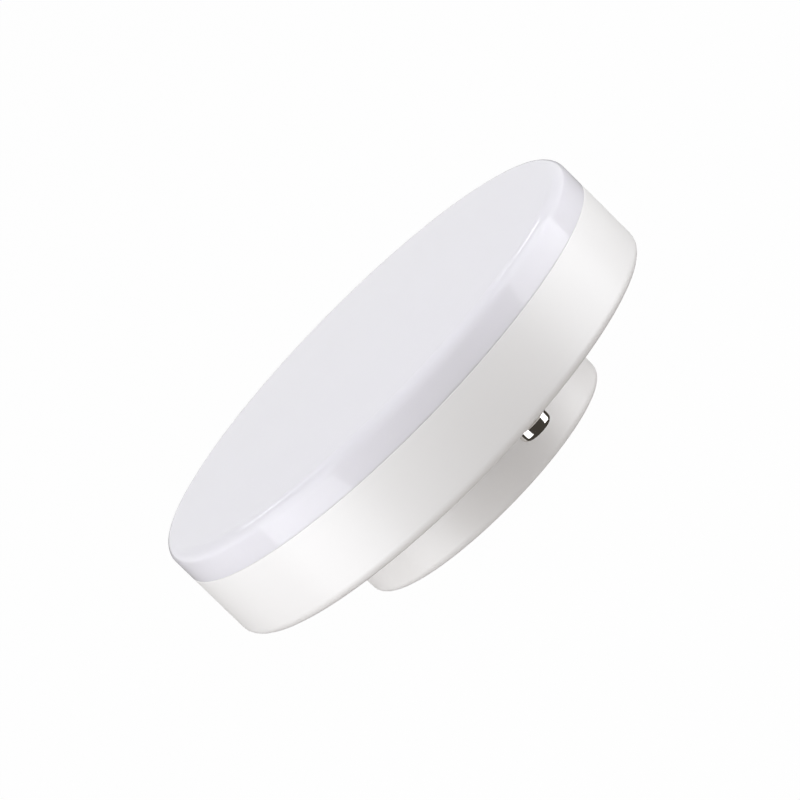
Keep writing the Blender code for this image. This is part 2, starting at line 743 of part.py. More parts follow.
def make_transformer():
    # A ferrite frame round a wound bobbin on a base.
    core = bmesh.new()
    block(core, CORE_SIZE, (0, 0, CORE_LIFT + CORE_SIZE[2] / 2))
    place = edge_place(TRANSFORMER_TURN, BOBBIN_SIZE[0], BOBBIN_SIZE[1])
    turn = (0, 0, facing(TRANSFORMER_TURN))
    transformer = add_object("transformer", to_mesh(core, "transformer"), ferrite, place, turn)
    coil = bmesh.new()
    block(coil, COIL_SIZE, (0, 0, COIL_LIFT + COIL_SIZE[2] / 2))
    soften(coil, COIL_EDGE)
    block(coil, BOBBIN_SIZE, (0, 0, BOBBIN_SIZE[2] / 2))
    tool = add_tool("transformer_coil", to_mesh(coil, "transformer_coil"), transformer)
    combine(transformer, tool, "UNION")


def make_choke():
    # A drum core, wound between its flanges.
    radius = CHOKE_DIAMETER / 2
    winding = radius - CHOKE_WINDING_DEPTH
    profile = [
        (0, CHOKE_HEIGHT),
        (radius, CHOKE_HEIGHT),
        (radius, CHOKE_HEIGHT - CHOKE_FLANGE),
        (winding, CHOKE_HEIGHT - CHOKE_FLANGE),
        (winding, CHOKE_FLANGE),
        (radius, CHOKE_FLANGE),
        (radius, 0),
        (0, 0),
    ]
    choke = turned("filter_choke", profile, ferrite, SMALL_STEPS)
    choke.location = polar(component_reach - radius, CHOKE_TURN, component_foot)


def make_varistor():
    # A coated disc that stands on two legs.
    radius = VARISTOR_DIAMETER / 2
    half = VARISTOR_THICKNESS / 2
    profile = rounded(
        [
            (0, half),
            (radius, half, VARISTOR_EDGE_RADIUS, 2),
            (radius, -half, VARISTOR_EDGE_RADIUS, 2),
            (0, -half),
        ]
    )
    varistor = turned("varistor", profile, blue_disc, SMALL_STEPS)
    varistor.location = edge_place(VARISTOR_TURN, VARISTOR_DIAMETER, VARISTOR_THICKNESS)
    varistor.location.z += radius + VARISTOR_LIFT
    varistor.rotation_euler = (math.pi / 2, 0, facing(VARISTOR_TURN))
    legs = bmesh.new()
    upright = Matrix.Rotation(math.pi / 2, 3, "X").to_quaternion()
    for side in (-1, 1):
        middle = radius / 2 - radius - VARISTOR_LIFT
        centre = (side * VARISTOR_LEG_SPREAD, middle, side * VARISTOR_LEG_OFFSET)
        rod(legs, LEG_DIAMETER / 2, radius, centre, 8, upright)
    combine(varistor, add_tool("varistor_legs", to_mesh(legs, "varistor_legs"), varistor), "UNION")


def make_film_capacitor():
    # A dipped box.
    bm = bmesh.new()
    block(bm, FILM_SIZE, (0, 0, FILM_SIZE[2] / 2))
    soften(bm, FILM_EDGE)
    place = edge_place(FILM_TURN, FILM_SIZE[0], FILM_SIZE[1])
    turn = (0, 0, facing(FILM_TURN))
    add_object("film_capacitor", to_mesh(bm, "film_capacitor"), yellow_film, place, turn)


def make_resistor():
    # A lying resistor, its wire bent down to the board at both ends.
    radius = RESISTOR_DIAMETER / 2
    half = RESISTOR_LENGTH / 2
    cap = half - RESISTOR_CAP_LENGTH
    waist = radius - RESISTOR_WAIST_DEPTH
    slope = cap - RESISTOR_WAIST_DEPTH
    profile = rounded(
        [
            (0, half),
            (radius, half, RESISTOR_EDGE_RADIUS, 1),
            (radius, cap),
            (waist, slope),
            (waist, -slope),
            (radius, -cap),
            (radius, -half, RESISTOR_EDGE_RADIUS, 1),
            (0, -half),
        ]
    )
    body = turned("fusible_resistor", profile, resistor_grey, HOLE_STEPS)
    body.location = edge_place(RESISTOR_TURN, RESISTOR_LENGTH, RESISTOR_DIAMETER)
    height = radius + LEG_DIAMETER
    body.location.z += height
    body.rotation_euler = (0, math.pi / 2, facing(RESISTOR_TURN))
    reach = half + LEG_DIAMETER * 3 / 2
    bend = LEG_DIAMETER
    route = [(height, 0, -reach), (bend, 0, -reach), (0, 0, bend - reach)]
    route += [(0, 0, reach - bend), (bend, 0, reach), (height, 0, reach)]
    mesh = baked(round_wire("fusible_resistor_wire", route, LEG_DIAMETER, None))
    legs = bmesh.new()
    legs.from_mesh(mesh)
    bmesh.ops.remove_doubles(legs, verts=legs.verts, dist=MERGE)
    tool = add_tool("fusible_resistor_legs", to_mesh(legs, "fusible_resistor_legs"), body)
    combine(body, tool, "UNION")


def make_package(name, size, place, turn, legs, leg_width):
    # A moulded surface-mounted package with flat legs along two opposite sides.
    length, width, height = size
    lift = PACKAGE_LEG_THICKNESS / 3
    bm = bmesh.new()
    block(bm, (length, width, height - lift), (0, 0, (height + lift) / 2))
    soften(bm, PACKAGE_EDGE)
    package = add_object(name, to_mesh(bm, name), black_package, place, (0, 0, facing(turn)))
    feet = bmesh.new()
    pitch = (length - leg_width) / legs
    for side in (-1, 1):
        for k in range(legs):
            centre = ((k + 0.5 - legs / 2) * pitch, side * width / 2, PACKAGE_LEG_THICKNESS / 2)
            block(feet, (leg_width, PACKAGE_LEG_REACH * 2, PACKAGE_LEG_THICKNESS), centre)
    combine(package, add_tool(f"{name}_legs", to_mesh(feet, f"{name}_legs"), package), "UNION")


def package_place(turn, size):
    # Where a package stands, its outer legs at the free edge.
    return edge_place(turn, size[0], size[1] + 2 * PACKAGE_LEG_REACH)


def make_packages():
    # The surface-mounted parts: rectifier, controller, diode and sense resistor.
    bridge_place = package_place(BRIDGE_TURN, BRIDGE_SIZE)
    make_package("bridge_rectifier", BRIDGE_SIZE, bridge_place, BRIDGE_TURN, 2, BRIDGE_LEG_WIDTH)
    chip_place = package_place(CHIP_TURN, CHIP_SIZE)
    make_package("driver_chip", CHIP_SIZE, chip_place, CHIP_TURN, 4, CHIP_LEG_WIDTH)
    diode_place = (*DIODE_PLACE, component_foot)
    make_package("flyback_diode", DIODE_SIZE, diode_place, math.pi / 2, 1, DIODE_LEG_WIDTH)
    length, width, height = SENSE_SIZE
    bare = SENSE_CAP_THICKNESS * 2
    bm = bmesh.new()
    block(bm, (length - SENSE_CAP_LENGTH, width - bare, height - bare), (0, 0, height / 2))
    place = (*SENSE_PLACE, component_foot)
    mesh = to_mesh(bm, "sense_resistor")
    sense = add_object("sense_resistor", mesh, black_package, place, (0, 0, SENSE_TURN))
    caps = bmesh.new()
    offset = (length - SENSE_CAP_LENGTH) / 2
    for side in (-1, 1):
        block(caps, (SENSE_CAP_LENGTH, width, height), (side * offset, 0, height / 2))
    tool = add_tool("sense_resistor_caps", to_mesh(caps, "sense_resistor_caps"), sense)
    combine(sense, tool, "UNION")


def make_wires():
    # Mains wires from the tags over the boss wall, and light wires through the middle hole.
    half = WIRE_DIAMETER / 2
    on_tag = tag_top + STACK_GAP + half
    landing = board_radius - MAINS_WIRE_EDGE_DISTANCE
    tongue_end = pin_circle - TAG_TONGUE_REACH
    middle = (on_tag + component_foot) / 2
    for number, side in enumerate((-1, 1), 1):
        points = [
            (0, side * (tongue_end + TAG_TONGUE_REACH / 2), on_tag),
            (0, side * tongue_end, on_tag),
            (0, side * (landing + (tongue_end - landing) / 4), on_tag - half),
            (0, side * landing, middle),
            (0, side * landing, component_foot),
        ]
        round_wire(f"mains_lead_{number}", smooth_route(points, 3), WIRE_DIAMETER, white_wire)
    on_board = led_board_top + STACK_GAP + half
    crest = led_board_top + LED_WIRE_RISE
    for name, side, material in (("plus", 1, red_wire), ("minus", -1, black_wire)):
        x = side * LED_WIRE_SPREAD
        reach = side * LED_WIRE_REACH
        points = [
            (x, LED_WIRE_OFFSET, component_foot),
            (x, LED_WIRE_OFFSET, plate_bottom),
            (x, LED_WIRE_OFFSET, led_board_top + half),
            (x + reach / 4, LED_WIRE_OFFSET, crest),
            (x + reach * 3 / 4, LED_WIRE_OFFSET, on_board + half / 2),
            (x + reach * 3 / 2, LED_WIRE_OFFSET, on_board),
        ]
        round_wire(f"led_lead_{name}", smooth_route(points, 3), WIRE_DIAMETER, material)


make_housing()
make_diffuser()
make_heat_sink()
make_led_board()
make_leds()
make_screws()
make_pins()
make_tags()
make_insulator()
make_driver_board()
make_capacitors()
make_transformer()
make_choke()
make_varistor()
make_film_capacitor()
make_resistor()
make_packages()
make_wires()
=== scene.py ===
# Looks of the disc lamp: fine casing, studs and inner parts, their finishes, a soft studio and the camera.
# Metres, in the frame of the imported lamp: +Z towards the light, the boss standing on z = 0.

import math

import bmesh
import bpy
from mathutils import Matrix, Vector


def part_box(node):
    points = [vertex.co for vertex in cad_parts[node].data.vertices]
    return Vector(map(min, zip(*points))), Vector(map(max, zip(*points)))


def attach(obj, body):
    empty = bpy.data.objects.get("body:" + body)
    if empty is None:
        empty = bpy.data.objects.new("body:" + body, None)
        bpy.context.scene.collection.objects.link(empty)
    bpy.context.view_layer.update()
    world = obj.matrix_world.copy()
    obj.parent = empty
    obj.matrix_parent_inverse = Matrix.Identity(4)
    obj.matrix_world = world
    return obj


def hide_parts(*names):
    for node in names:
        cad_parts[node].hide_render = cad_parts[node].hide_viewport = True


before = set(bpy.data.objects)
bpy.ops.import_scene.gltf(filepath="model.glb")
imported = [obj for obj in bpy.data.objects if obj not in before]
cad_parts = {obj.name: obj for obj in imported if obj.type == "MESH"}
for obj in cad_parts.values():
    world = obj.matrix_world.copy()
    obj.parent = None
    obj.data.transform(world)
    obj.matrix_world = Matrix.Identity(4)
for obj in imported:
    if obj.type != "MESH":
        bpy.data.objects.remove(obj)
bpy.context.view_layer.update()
print("frame loaded,", len(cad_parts), "nodes")

mm = 0.001
scene = bpy.context.scene

# What the pieces share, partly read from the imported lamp
lamp = {
    "radius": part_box("housing")[1].x,
    "seam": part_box("housing")[1].z,
    "front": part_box("diffuser")[1].z,
    "backFace": 9.0 * mm,
    "studCircle": 26.5 * mm,
    "postCircle": 29.05 * mm,
    "postTop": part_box("heat_sink")[1].z - 0.95 * mm,
    "boardFoot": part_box("driver_board")[0].z,
    "boardTop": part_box("driver_board")[1].z,
    "lightTop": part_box("led_board")[1].z,
    "tagTop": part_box("pin_tag_1")[1].z,
    "tagReach": 6.2 * mm,  # from the middle of a stud to the end of its tag
    "gap": 0.15 * mm,  # between pieces that touch or nearly touch
    "over": 1.0 * mm,  # how far a cutting tool reaches past its piece
    "turnSteps": 240,  # faces round the casing
    "plateSteps": 160,
    "sharpAngle": math.radians(32),
}


# Shader maths

class Wire:
    # A shader socket that can be added to and multiplied.
    def __init__(self, tree, socket):
        self.tree = tree
        self.socket = socket

    def calc(self, operation, *others):
        node = self.tree.nodes.new("ShaderNodeMath")
        node.operation = operation
        for slot, value in zip(node.inputs, (self, *others)):
            join(self.tree, value, slot)
        return Wire(self.tree, node.outputs[0])

    def beside(self, output):
        # Another output of the same node.
        return Wire(self.tree, self.socket.node.outputs[output])

    def __add__(self, other):
        return self.calc("ADD", other)

    def __mul__(self, other):
        return self.calc("MULTIPLY", other)

    __radd__ = __add__
    __rmul__ = __mul__


def join(tree, value, slot):
    # Links a wire to a socket, or sets a plain value on it.
    if isinstance(value, Wire):
        tree.links.new(value.socket, slot)
    else:
        slot.default_value = (*value, 1.0) if slot.type == "RGBA" else value


class Shader:
    # The nodes of a material or of the world, added one by one.
    def __init__(self, owner):
        owner.use_nodes = True
        self.owner = owner
        self.tree = owner.node_tree

    def node(self, kind, settings=None, sockets=None, output=0):
        node = self.tree.nodes.new(kind)
        for name, value in (settings or {}).items():
            setattr(node, name, value)
        for name, value in (sockets or {}).items():
            join(self.tree, value, node.inputs[name])
        return Wire(self.tree, node.outputs[output])

    def mix(self, factor, first, second):
        # A colour between two colours.
        return self.node("ShaderNodeMix", {"data_type": "RGBA"}, {0: factor, 6: first, 7: second}, 2)

    def show(self, surface):
        output = next(node for node in self.tree.nodes if node.bl_idname.startswith("ShaderNodeOutput"))
        join(self.tree, surface, output.inputs["Surface"])

    def seenWhite(self, hidden, whiteKind, share):
        # White where the camera, gloss or glass looks, and the hidden shader for what falls on things.
        camera = self.node("ShaderNodeLightPath", output="Is Camera Ray")
        seen = camera.calc("MAXIMUM", camera.beside("Is Glossy Ray"))
        seen = seen.calc("MAXIMUM", camera.beside("Is Transmission Ray"))
        white = self.node(whiteKind, None, {"Color": (1, 1, 1), "Strength": 1.0})
        return self.node("ShaderNodeMixShader", None, {0: seen * share, 1: hidden, 2: white})


class Finish(Shader):
    # A material of the lamp, with its colour, gloss and relief.
    def __init__(self, name, colour, roughness, metallic=0.0, fixed=None):
        super().__init__(bpy.data.materials.new(name))
        self.principled = self.tree.nodes["Principled BSDF"]
        self.set("Base Color", colour)
        self.set("Roughness", roughness)
        self.set("Metallic", metallic)
        for socket, value in (fixed or {}).items():
            self.set(socket, value)
        self.place = self.node("ShaderNodeTexCoord", output="Object")

    def set(self, socket, value):
        join(self.tree, value, self.principled.inputs[socket])

    def axis(self, letter):
        # How far a point lies along X, Y or Z.
        return self.node("ShaderNodeSeparateXYZ", None, {"Vector": self.place}, letter)

    def facing(self, letter):
        # How much the surface faces along X, Y or Z.
        normal = self.node("ShaderNodeNewGeometry", output="Normal")
        return self.node("ShaderNodeSeparateXYZ", None, {"Vector": normal}, letter)

    def noise(self, size, detail=2.0, place=None):
        # Soft noise from 0 to 1 whose lumps are about this size in metres.
        sockets = {"Vector": place or self.place, "Scale": 1 / size, "Detail": detail}
        return self.node("ShaderNodeTexNoise", None, sockets, "Fac")

    def made(self, colour, roughness, height, depth, strength, normal=None):
        # The material, once its colour, roughness and relief change over the surface. The depth is in metres.
        self.set("Base Color", colour)
        self.set("Roughness", roughness)
        sockets = {"Height": height, "Distance": depth, "Strength": strength}
        if normal:
            sockets["Normal"] = normal
        self.set("Normal", self.node("ShaderNodeBump", None, sockets, "Normal"))
        return self.owner


# Finishes

def whitePlasticFinish():
    tone = {"light": (0.885, 0.885, 0.88), "dull": (0.865, 0.865, 0.857), "roughness": 0.34}
    finish = Finish("whitePlastic", tone["light"], tone["roughness"])
    clouds = finish.noise(9 * mm, 3.0)
    grain = finish.noise(0.16 * mm)
    colour = finish.mix(clouds * 0.6, tone["light"], tone["dull"])
    roughness = clouds * 0.06 + grain * 0.05 + (tone["roughness"] - 0.05)
    return finish.made(colour, roughness, grain, 0.004 * mm, 0.35)


def milkyPlasticFinish():
    # Light that enters the face spreads into the rim, so the matt part shades as if the rim leaned forward.
    tone = {"light": (0.915, 0.905, 0.975), "deep": (0.90, 0.89, 0.965), "roughness": 0.3}
    lean = (0, 0, 0.8)
    fixed = {
        "Subsurface Weight": 0.4,
        "Subsurface Radius": (1.0, 0.97, 1.03),
        "Subsurface Scale": 1.0 * mm,
        "Specular IOR Level": 0.0,
        "Coat Weight": 0.7,
        "Coat Roughness": 0.1,
        "Coat IOR": 1.5,
    }
    finish = Finish("milkyPlastic", tone["light"], tone["roughness"], fixed=fixed)
    clouds = finish.noise(14 * mm)
    grain = finish.noise(0.1 * mm)
    colour = finish.mix(clouds * 0.7, tone["light"], tone["deep"])
    normal = finish.node("ShaderNodeNewGeometry", output="Normal")
    leaning = finish.node("ShaderNodeVectorMath", {"operation": "ADD"}, {0: normal, 1: lean})
    leaning = finish.node("ShaderNodeVectorMath", {"operation": "NORMALIZE"}, {0: leaning})
    roughness = clouds * 0.04 + (tone["roughness"] - 0.02)
    return finish.made(colour, roughness, grain, 0.002 * mm, 0.2, leaning)


def platedStudFinish():
    # Fine rings of the lathe tool run round the stud.
    tone = {"bright": (0.72, 0.70, 0.67), "dull": (0.58, 0.55, 0.51), "roughness": 0.07}
    toolPitch = 0.09 * mm
    finish = Finish("platedStud", tone["bright"], tone["roughness"], 1.0)
    rings = (finish.axis("Z") * (math.tau / toolPitch)).calc("SINE")
    spots = finish.noise(0.8 * mm, 3.0)
    colour = finish.mix(spots * 0.5, tone["bright"], tone["dull"])
    roughness = spots * 0.08 + (tone["roughness"] - 0.03)
    return finish.made(colour, roughness, rings * 0.5 + spots * 0.5, 0.001 * mm, 0.2)


def ledFinish():
    # The sunk window holds yellow phosphor in a white frame.
    tone = {"frame": (0.86, 0.86, 0.84), "phosphor": (0.86, 0.70, 0.16), "deep": (0.78, 0.58, 0.09)}
    window = {"depth": 0.05 * mm, "facing": 0.6}  # least depth and least upward turn of what is phosphor
    finish = Finish("ledBody", tone["frame"], 0.32)
    specks = finish.noise(0.12 * mm, 3.0)
    phosphor = finish.mix(specks * 0.7, tone["phosphor"], tone["deep"])
    low = finish.axis("Z").calc("LESS_THAN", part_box("led_01")[1].z - window["depth"])
    up = finish.facing("Z").calc("GREATER_THAN", window["facing"])
    colour = finish.mix(low * up, tone["frame"], phosphor)
    return finish.made(colour, specks * 0.1 + 0.26, specks, 0.004 * mm, 0.4)


def clearSheetFinish():
    finish = Finish("clearSheet", (0.75, 0.74, 0.66), 0.22, fixed={"IOR": 1.64})
    haze = finish.noise(3 * mm, 3.0)
    finish.set("Base Color", finish.mix(haze * 0.6, (0.77, 0.76, 0.68), (0.70, 0.69, 0.60)))
    finish.set("Alpha", haze * 0.15 + 0.5)
    finish.set("Roughness", haze * 0.12 + 0.16)
    return finish.owner


def sheetMetalFinish(name, light, dark, roughness, streak):
    # Rolled sheet, its fine streaks along X.
    finish = Finish(name, light, roughness, 1.0)
    stretch = {"Vector": finish.place, "Scale": (0.02, 1.0, 1.0)}
    streaks = finish.noise(streak, 3.0, finish.node("ShaderNodeMapping", None, stretch, "Vector"))
    blotches = finish.noise(5 * mm, 2.0)
    colour = finish.mix(streaks * 0.5 + blotches * 0.3, light, dark)
    return finish.made(colour, streaks * 0.14 + (roughness - 0.07), streaks, 0.003 * mm, 0.4)


def boardFinish(name, bare, copper, roughness, pitch, trackWidth):
    # A coated board whose copper shows through the coating as paler tracks.
    finish = Finish(name, bare, roughness)
    bricks = {"offset": 0.37, "squash": 0.6, "squash_frequency": 3}
    sockets = {"Vector": finish.place, "Scale": 1 / pitch}
    sockets |= {"Mortar Size": trackWidth / pitch, "Mortar Smooth": 0.1}
    tracks = finish.node("ShaderNodeTexBrick", bricks, sockets, "Fac")
    weave = finish.noise(0.35 * mm)
    coating = finish.mix(weave * 0.25, bare, tuple(value * 0.8 for value in bare))
    colour = finish.mix(tracks, coating, copper)
    relief = tracks * 0.7 + weave * 0.3
    return finish.made(colour, weave * 0.1 + (roughness - 0.05), relief, 0.02 * mm, 0.5)


def speckledFinish(name, light, dark, roughness, grain, sheen=0.0, relief=0.004 * mm):
    # Moulded, dipped or sintered stuff with a fine grain.
    finish = Finish(name, light, roughness, fixed={"Coat Weight": sheen, "Coat Roughness": 0.12})
    specks = finish.noise(grain, 3.0)
    clouds = finish.noise(grain * 12, 2.0)
    colour = finish.mix(specks * 0.6 + clouds * 0.4, light, dark)
    return finish.made(colour, clouds * 0.1 + (roughness - 0.05), specks, relief, 0.4)


# Each finish is kept under the material slot of its pieces. Metals: light and dark tone, roughness, streak.
metals = {
    "pressed_aluminium": ("pressedAluminium", (0.74, 0.75, 0.76), (0.60, 0.61, 0.62), 0.36, 0.25 * mm),
    "tinned_tag": ("tinnedTag", (0.71, 0.71, 0.69), (0.55, 0.55, 0.53), 0.30, 0.2 * mm),
    "zinc_screw": ("zincScrew", (0.63, 0.64, 0.66), (0.50, 0.50, 0.47), 0.27, 0.1 * mm),
}
# Bare coating, coating over copper, roughness, pitch and width of the tracks
boards = {
    "white_mask": ("whiteMask", (0.85, 0.86, 0.85), (0.80, 0.81, 0.785), 0.45, 27.0 * mm, 0.4 * mm),
    "green_board": ("greenBoard", (0.02, 0.15, 0.055), (0.05, 0.26, 0.10), 0.38, 4.0 * mm, 0.45 * mm),
}
# Light and dark tone, roughness, grain, then sheen and relief where they aren't the usual ones
speckled = {
    "white_wire": ("whiteWire", (0.82, 0.82, 0.80), (0.74, 0.74, 0.71), 0.42, 0.15 * mm),
    "red_wire": ("redWire", (0.55, 0.03, 0.02), (0.42, 0.02, 0.015), 0.42, 0.15 * mm),
    "black_wire": ("blackWire", (0.022, 0.022, 0.024), (0.035, 0.035, 0.036), 0.42, 0.15 * mm),
    "resistor_grey": ("resistorGrey", (0.20, 0.28, 0.30), (0.15, 0.22, 0.24), 0.5, 0.1 * mm),
    "blue_disc": ("blueDisc", (0.03, 0.12, 0.42), (0.02, 0.08, 0.33), 0.36, 0.3 * mm, 0.4),
    "yellow_film": ("yellowFilm", (0.75, 0.55, 0.08), (0.66, 0.46, 0.05), 0.4, 0.2 * mm, 0.3),
    "ferrite": ("ferrite", (0.042, 0.04, 0.038), (0.075, 0.07, 0.066), 0.58, 0.12 * mm, 0.0, 0.01 * mm),
    "black_package": ("blackPackage", (0.016, 0.016, 0.017), (0.03, 0.03, 0.03), 0.5, 0.08 * mm),
    "can_sleeve": ("canSleeve", (0.025, 0.03, 0.06), (0.018, 0.02, 0.045), 0.3, 0.4 * mm, 0.3),
}
finishes = {
    "white_housing": whitePlasticFinish(),
    "milky_cover": milkyPlasticFinish(),
    "plated_stud": platedStudFinish(),
    "led_body": ledFinish(),
    "clear_sheet": clearSheetFinish(),
}
for makeFinish, table in ((sheetMetalFinish, metals), (boardFinish, boards), (speckledFinish, speckled)):
    finishes.update({slot: makeFinish(*values) for slot, values in table.items()})
print("finishes made,", len(finishes))


# Shapes

weld = 1e-7  # points closer than this become one
thirds = [math.tau * k / 3 for k in range(3)]
pair = ((1, -1), (2, 1))  # the number of each of two pieces, and its side


def polar(radius, angle, height=0.0):
    return Vector((radius * math.cos(angle), radius * math.sin(angle), height))


def meshFrom(bm, name):
    bmesh.ops.recalc_face_normals(bm, faces=bm.faces)
    mesh = bpy.data.meshes.new(name)
    bm.to_mesh(mesh)
    bm.free()
    return mesh


def rounded(bm, geom, offset, segments, affect="EDGES"):
    bmesh.ops.bevel(
        bm, geom=geom, offset=offset, segments=segments, profile=0.5, affect=affect, material=-1
    )


def outline(bm, corners):
    # A flat face over the X axis, from corners whose first values are radius and height.
    return bm.faces.new([bm.verts.new((corner[0], 0, corner[1])) for corner in corners])


def spin(bm, geom, angle, steps, rise=0.0, closed=False):
    # About Z, rising by the same amount with each step.
    bmesh.ops.spin(
        bm,
        geom=geom,
        angle=angle,
        steps=steps,
        axis=(0, 0, 1),
        cent=(0, 0, 0),
        dvec=(0, 0, rise),
        use_merge=closed,
    )


def turnedMesh(name, corners, steps, segments=6):
    # A body turned about Z from corners (radius, height) or (radius, height, rounding).
    bm = bmesh.new()
    points = list(outline(bm, corners).verts)
    roundings = {}
    for point, corner in zip(points, corners):
        if len(corner) == 3:
            roundings.setdefault(corner[2], []).append(point)
    for rounding, group in roundings.items():
        rounded(bm, group, rounding, segments, "VERTICES")
    bmesh.ops.delete(bm, geom=bm.faces[:], context="FACES_ONLY")
    onAxis = [edge for edge in bm.edges if all(abs(point.co.x) < weld for point in edge.verts)]
    bmesh.ops.delete(bm, geom=onAxis, context="EDGES")
    spin(bm, bm.verts[:] + bm.edges[:], math.tau, steps, closed=True)
    bmesh.ops.remove_doubles(bm, verts=bm.verts, dist=weld)
    return meshFrom(bm, name)


def sector(bm, corners, middle, sweep, steps=12):
    # A block swept about Z from corners (radius, height).
    face = outline(bm, corners)
    start = Matrix.Rotation(middle - sweep / 2, 3, "Z")
    bmesh.ops.rotate(bm, verts=list(face.verts), cent=(0, 0, 0), matrix=start)
    spin(bm, [face, *face.edges, *face.verts], sweep, steps)


def cone(bm, footRadius, topRadius, length, centre, steps):
    bmesh.ops.create_cone(
        bm,
        cap_ends=True,
        segments=steps,
        radius1=footRadius,
        radius2=topRadius,
        depth=length,
        matrix=Matrix.Translation(centre),
    )


def rod(bm, radius, foot, top, centre, steps=48):
    # An upright cylinder.
    cone(bm, radius, radius, top - foot, (centre[0], centre[1], (foot + top) / 2), steps)


def block(bm, size, centre, rounding=0.0, segments=2, upright=False):
    # A box with its edges rounded, or only its upright ones.
    before = set(bm.verts)
    matrix = Matrix.LocRotScale(Vector(centre), None, Vector(size))
    bmesh.ops.create_cube(bm, size=1, matrix=matrix)
    if rounding:
        edges = [edge for edge in bm.edges if edge.verts[0] not in before]
        if upright:
            edges = [edge for edge in edges if abs(edge.verts[0].co.z - edge.verts[1].co.z) > size[2] / 2]
        rounded(bm, edges, rounding, segments)
    return [point for point in bm.verts if point not in before]


def wireMesh(name, route, diameter):
    # A round wire through the points of its route.
    curve = bpy.data.curves.new(name, "CURVE")
    curve.dimensions = "3D"
    curve.bevel_depth = diameter / 2
    curve.bevel_resolution = 6
    curve.resolution_u = 10
    curve.use_fill_caps = True
    line = curve.splines.new("BEZIER")
    line.bezier_points.add(len(route) - 1)
    for point, place in zip(line.bezier_points, route):
        point.co = place
        point.handle_left_type = point.handle_right_type = "AUTO"
    thing = bpy.data.objects.new(name, curve)
    scene.collection.objects.link(thing)
    graph = bpy.context.evaluated_depsgraph_get()
    bm = bmesh.new()
    bm.from_mesh(bpy.data.meshes.new_from_object(thing.evaluated_get(graph)))
    bpy.data.objects.remove(thing, do_unlink=True)
    bmesh.ops.remove_doubles(bm, verts=bm.verts, dist=weld)
    return meshFrom(bm, name)


def combined(mesh, toolBm, operation="DIFFERENCE"):
    # The mesh with a tool shape cut out or joined on.
    tool = bpy.data.objects.new("tool", meshFrom(toolBm, "tool"))
    piece = bpy.data.objects.new("combined", mesh)
    for thing in (tool, piece):
        scene.collection.objects.link(thing)
    boolean = piece.modifiers.new("boolean", "BOOLEAN")
    boolean.object = tool
    boolean.operation = operation
    boolean.solver = "EXACT"
    graph = bpy.context.evaluated_depsgraph_get()
    result = bpy.data.meshes.new_from_object(piece.evaluated_get(graph))
    for thing in (tool, piece):
        bpy.data.objects.remove(thing, do_unlink=True)
    return result


def crossCut(mesh, size, height):
    # Two crossed slots in the top of a mesh.
    for angle in (0, math.pi / 2):
        slot = bmesh.new()
        points = block(slot, size, (0, 0, height))
        bmesh.ops.rotate(slot, verts=points, cent=(0, 0, 0), matrix=Matrix.Rotation(angle, 3, "Z"))
        mesh = combined(mesh, slot)
    return mesh


def standing(node, turn=0.0):
    # The place of a shape made on its own foot: the middle of the node's foot, turned about Z.
    low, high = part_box(node)
    foot = Vector(((low.x + high.x) / 2, (low.y + high.y) / 2, low.z))
    return Matrix.Translation(foot) @ Matrix.Rotation(turn, 4, "Z")


def dress(name, mesh, slot, *nodes):
    # A finished piece that stands for CAD nodes and rides on the lamp's one body.
    mesh.shade_smooth()
    mesh.set_sharp_from_angle(angle=lamp["sharpAngle"])
    mesh.materials.clear()
    mesh.materials.append(finishes[slot])
    piece = bpy.data.objects.new(name, mesh)
    scene.collection.objects.link(piece)
    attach(piece, "root")
    if nodes:
        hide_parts(*nodes)


def setPiece(name, mesh, place, slot, *nodes):
    # A shape made on its own foot, set in its place and finished.
    mesh.transform(place)
    dress(name, mesh, slot, *nodes)


def turnedPiece(name, corners, steps, segments, place, slot, *nodes):
    setPiece(name, turnedMesh(name, corners, steps, segments), place, slot, *nodes)


def blockPiece(name, size, lift, rounding, segments, place, slot, *nodes):
    bm = bmesh.new()
    block(bm, size, (0, 0, lift + size[2] / 2), rounding, segments)
    setPiece(name, meshFrom(bm, name), place, slot, *nodes)


# Casing

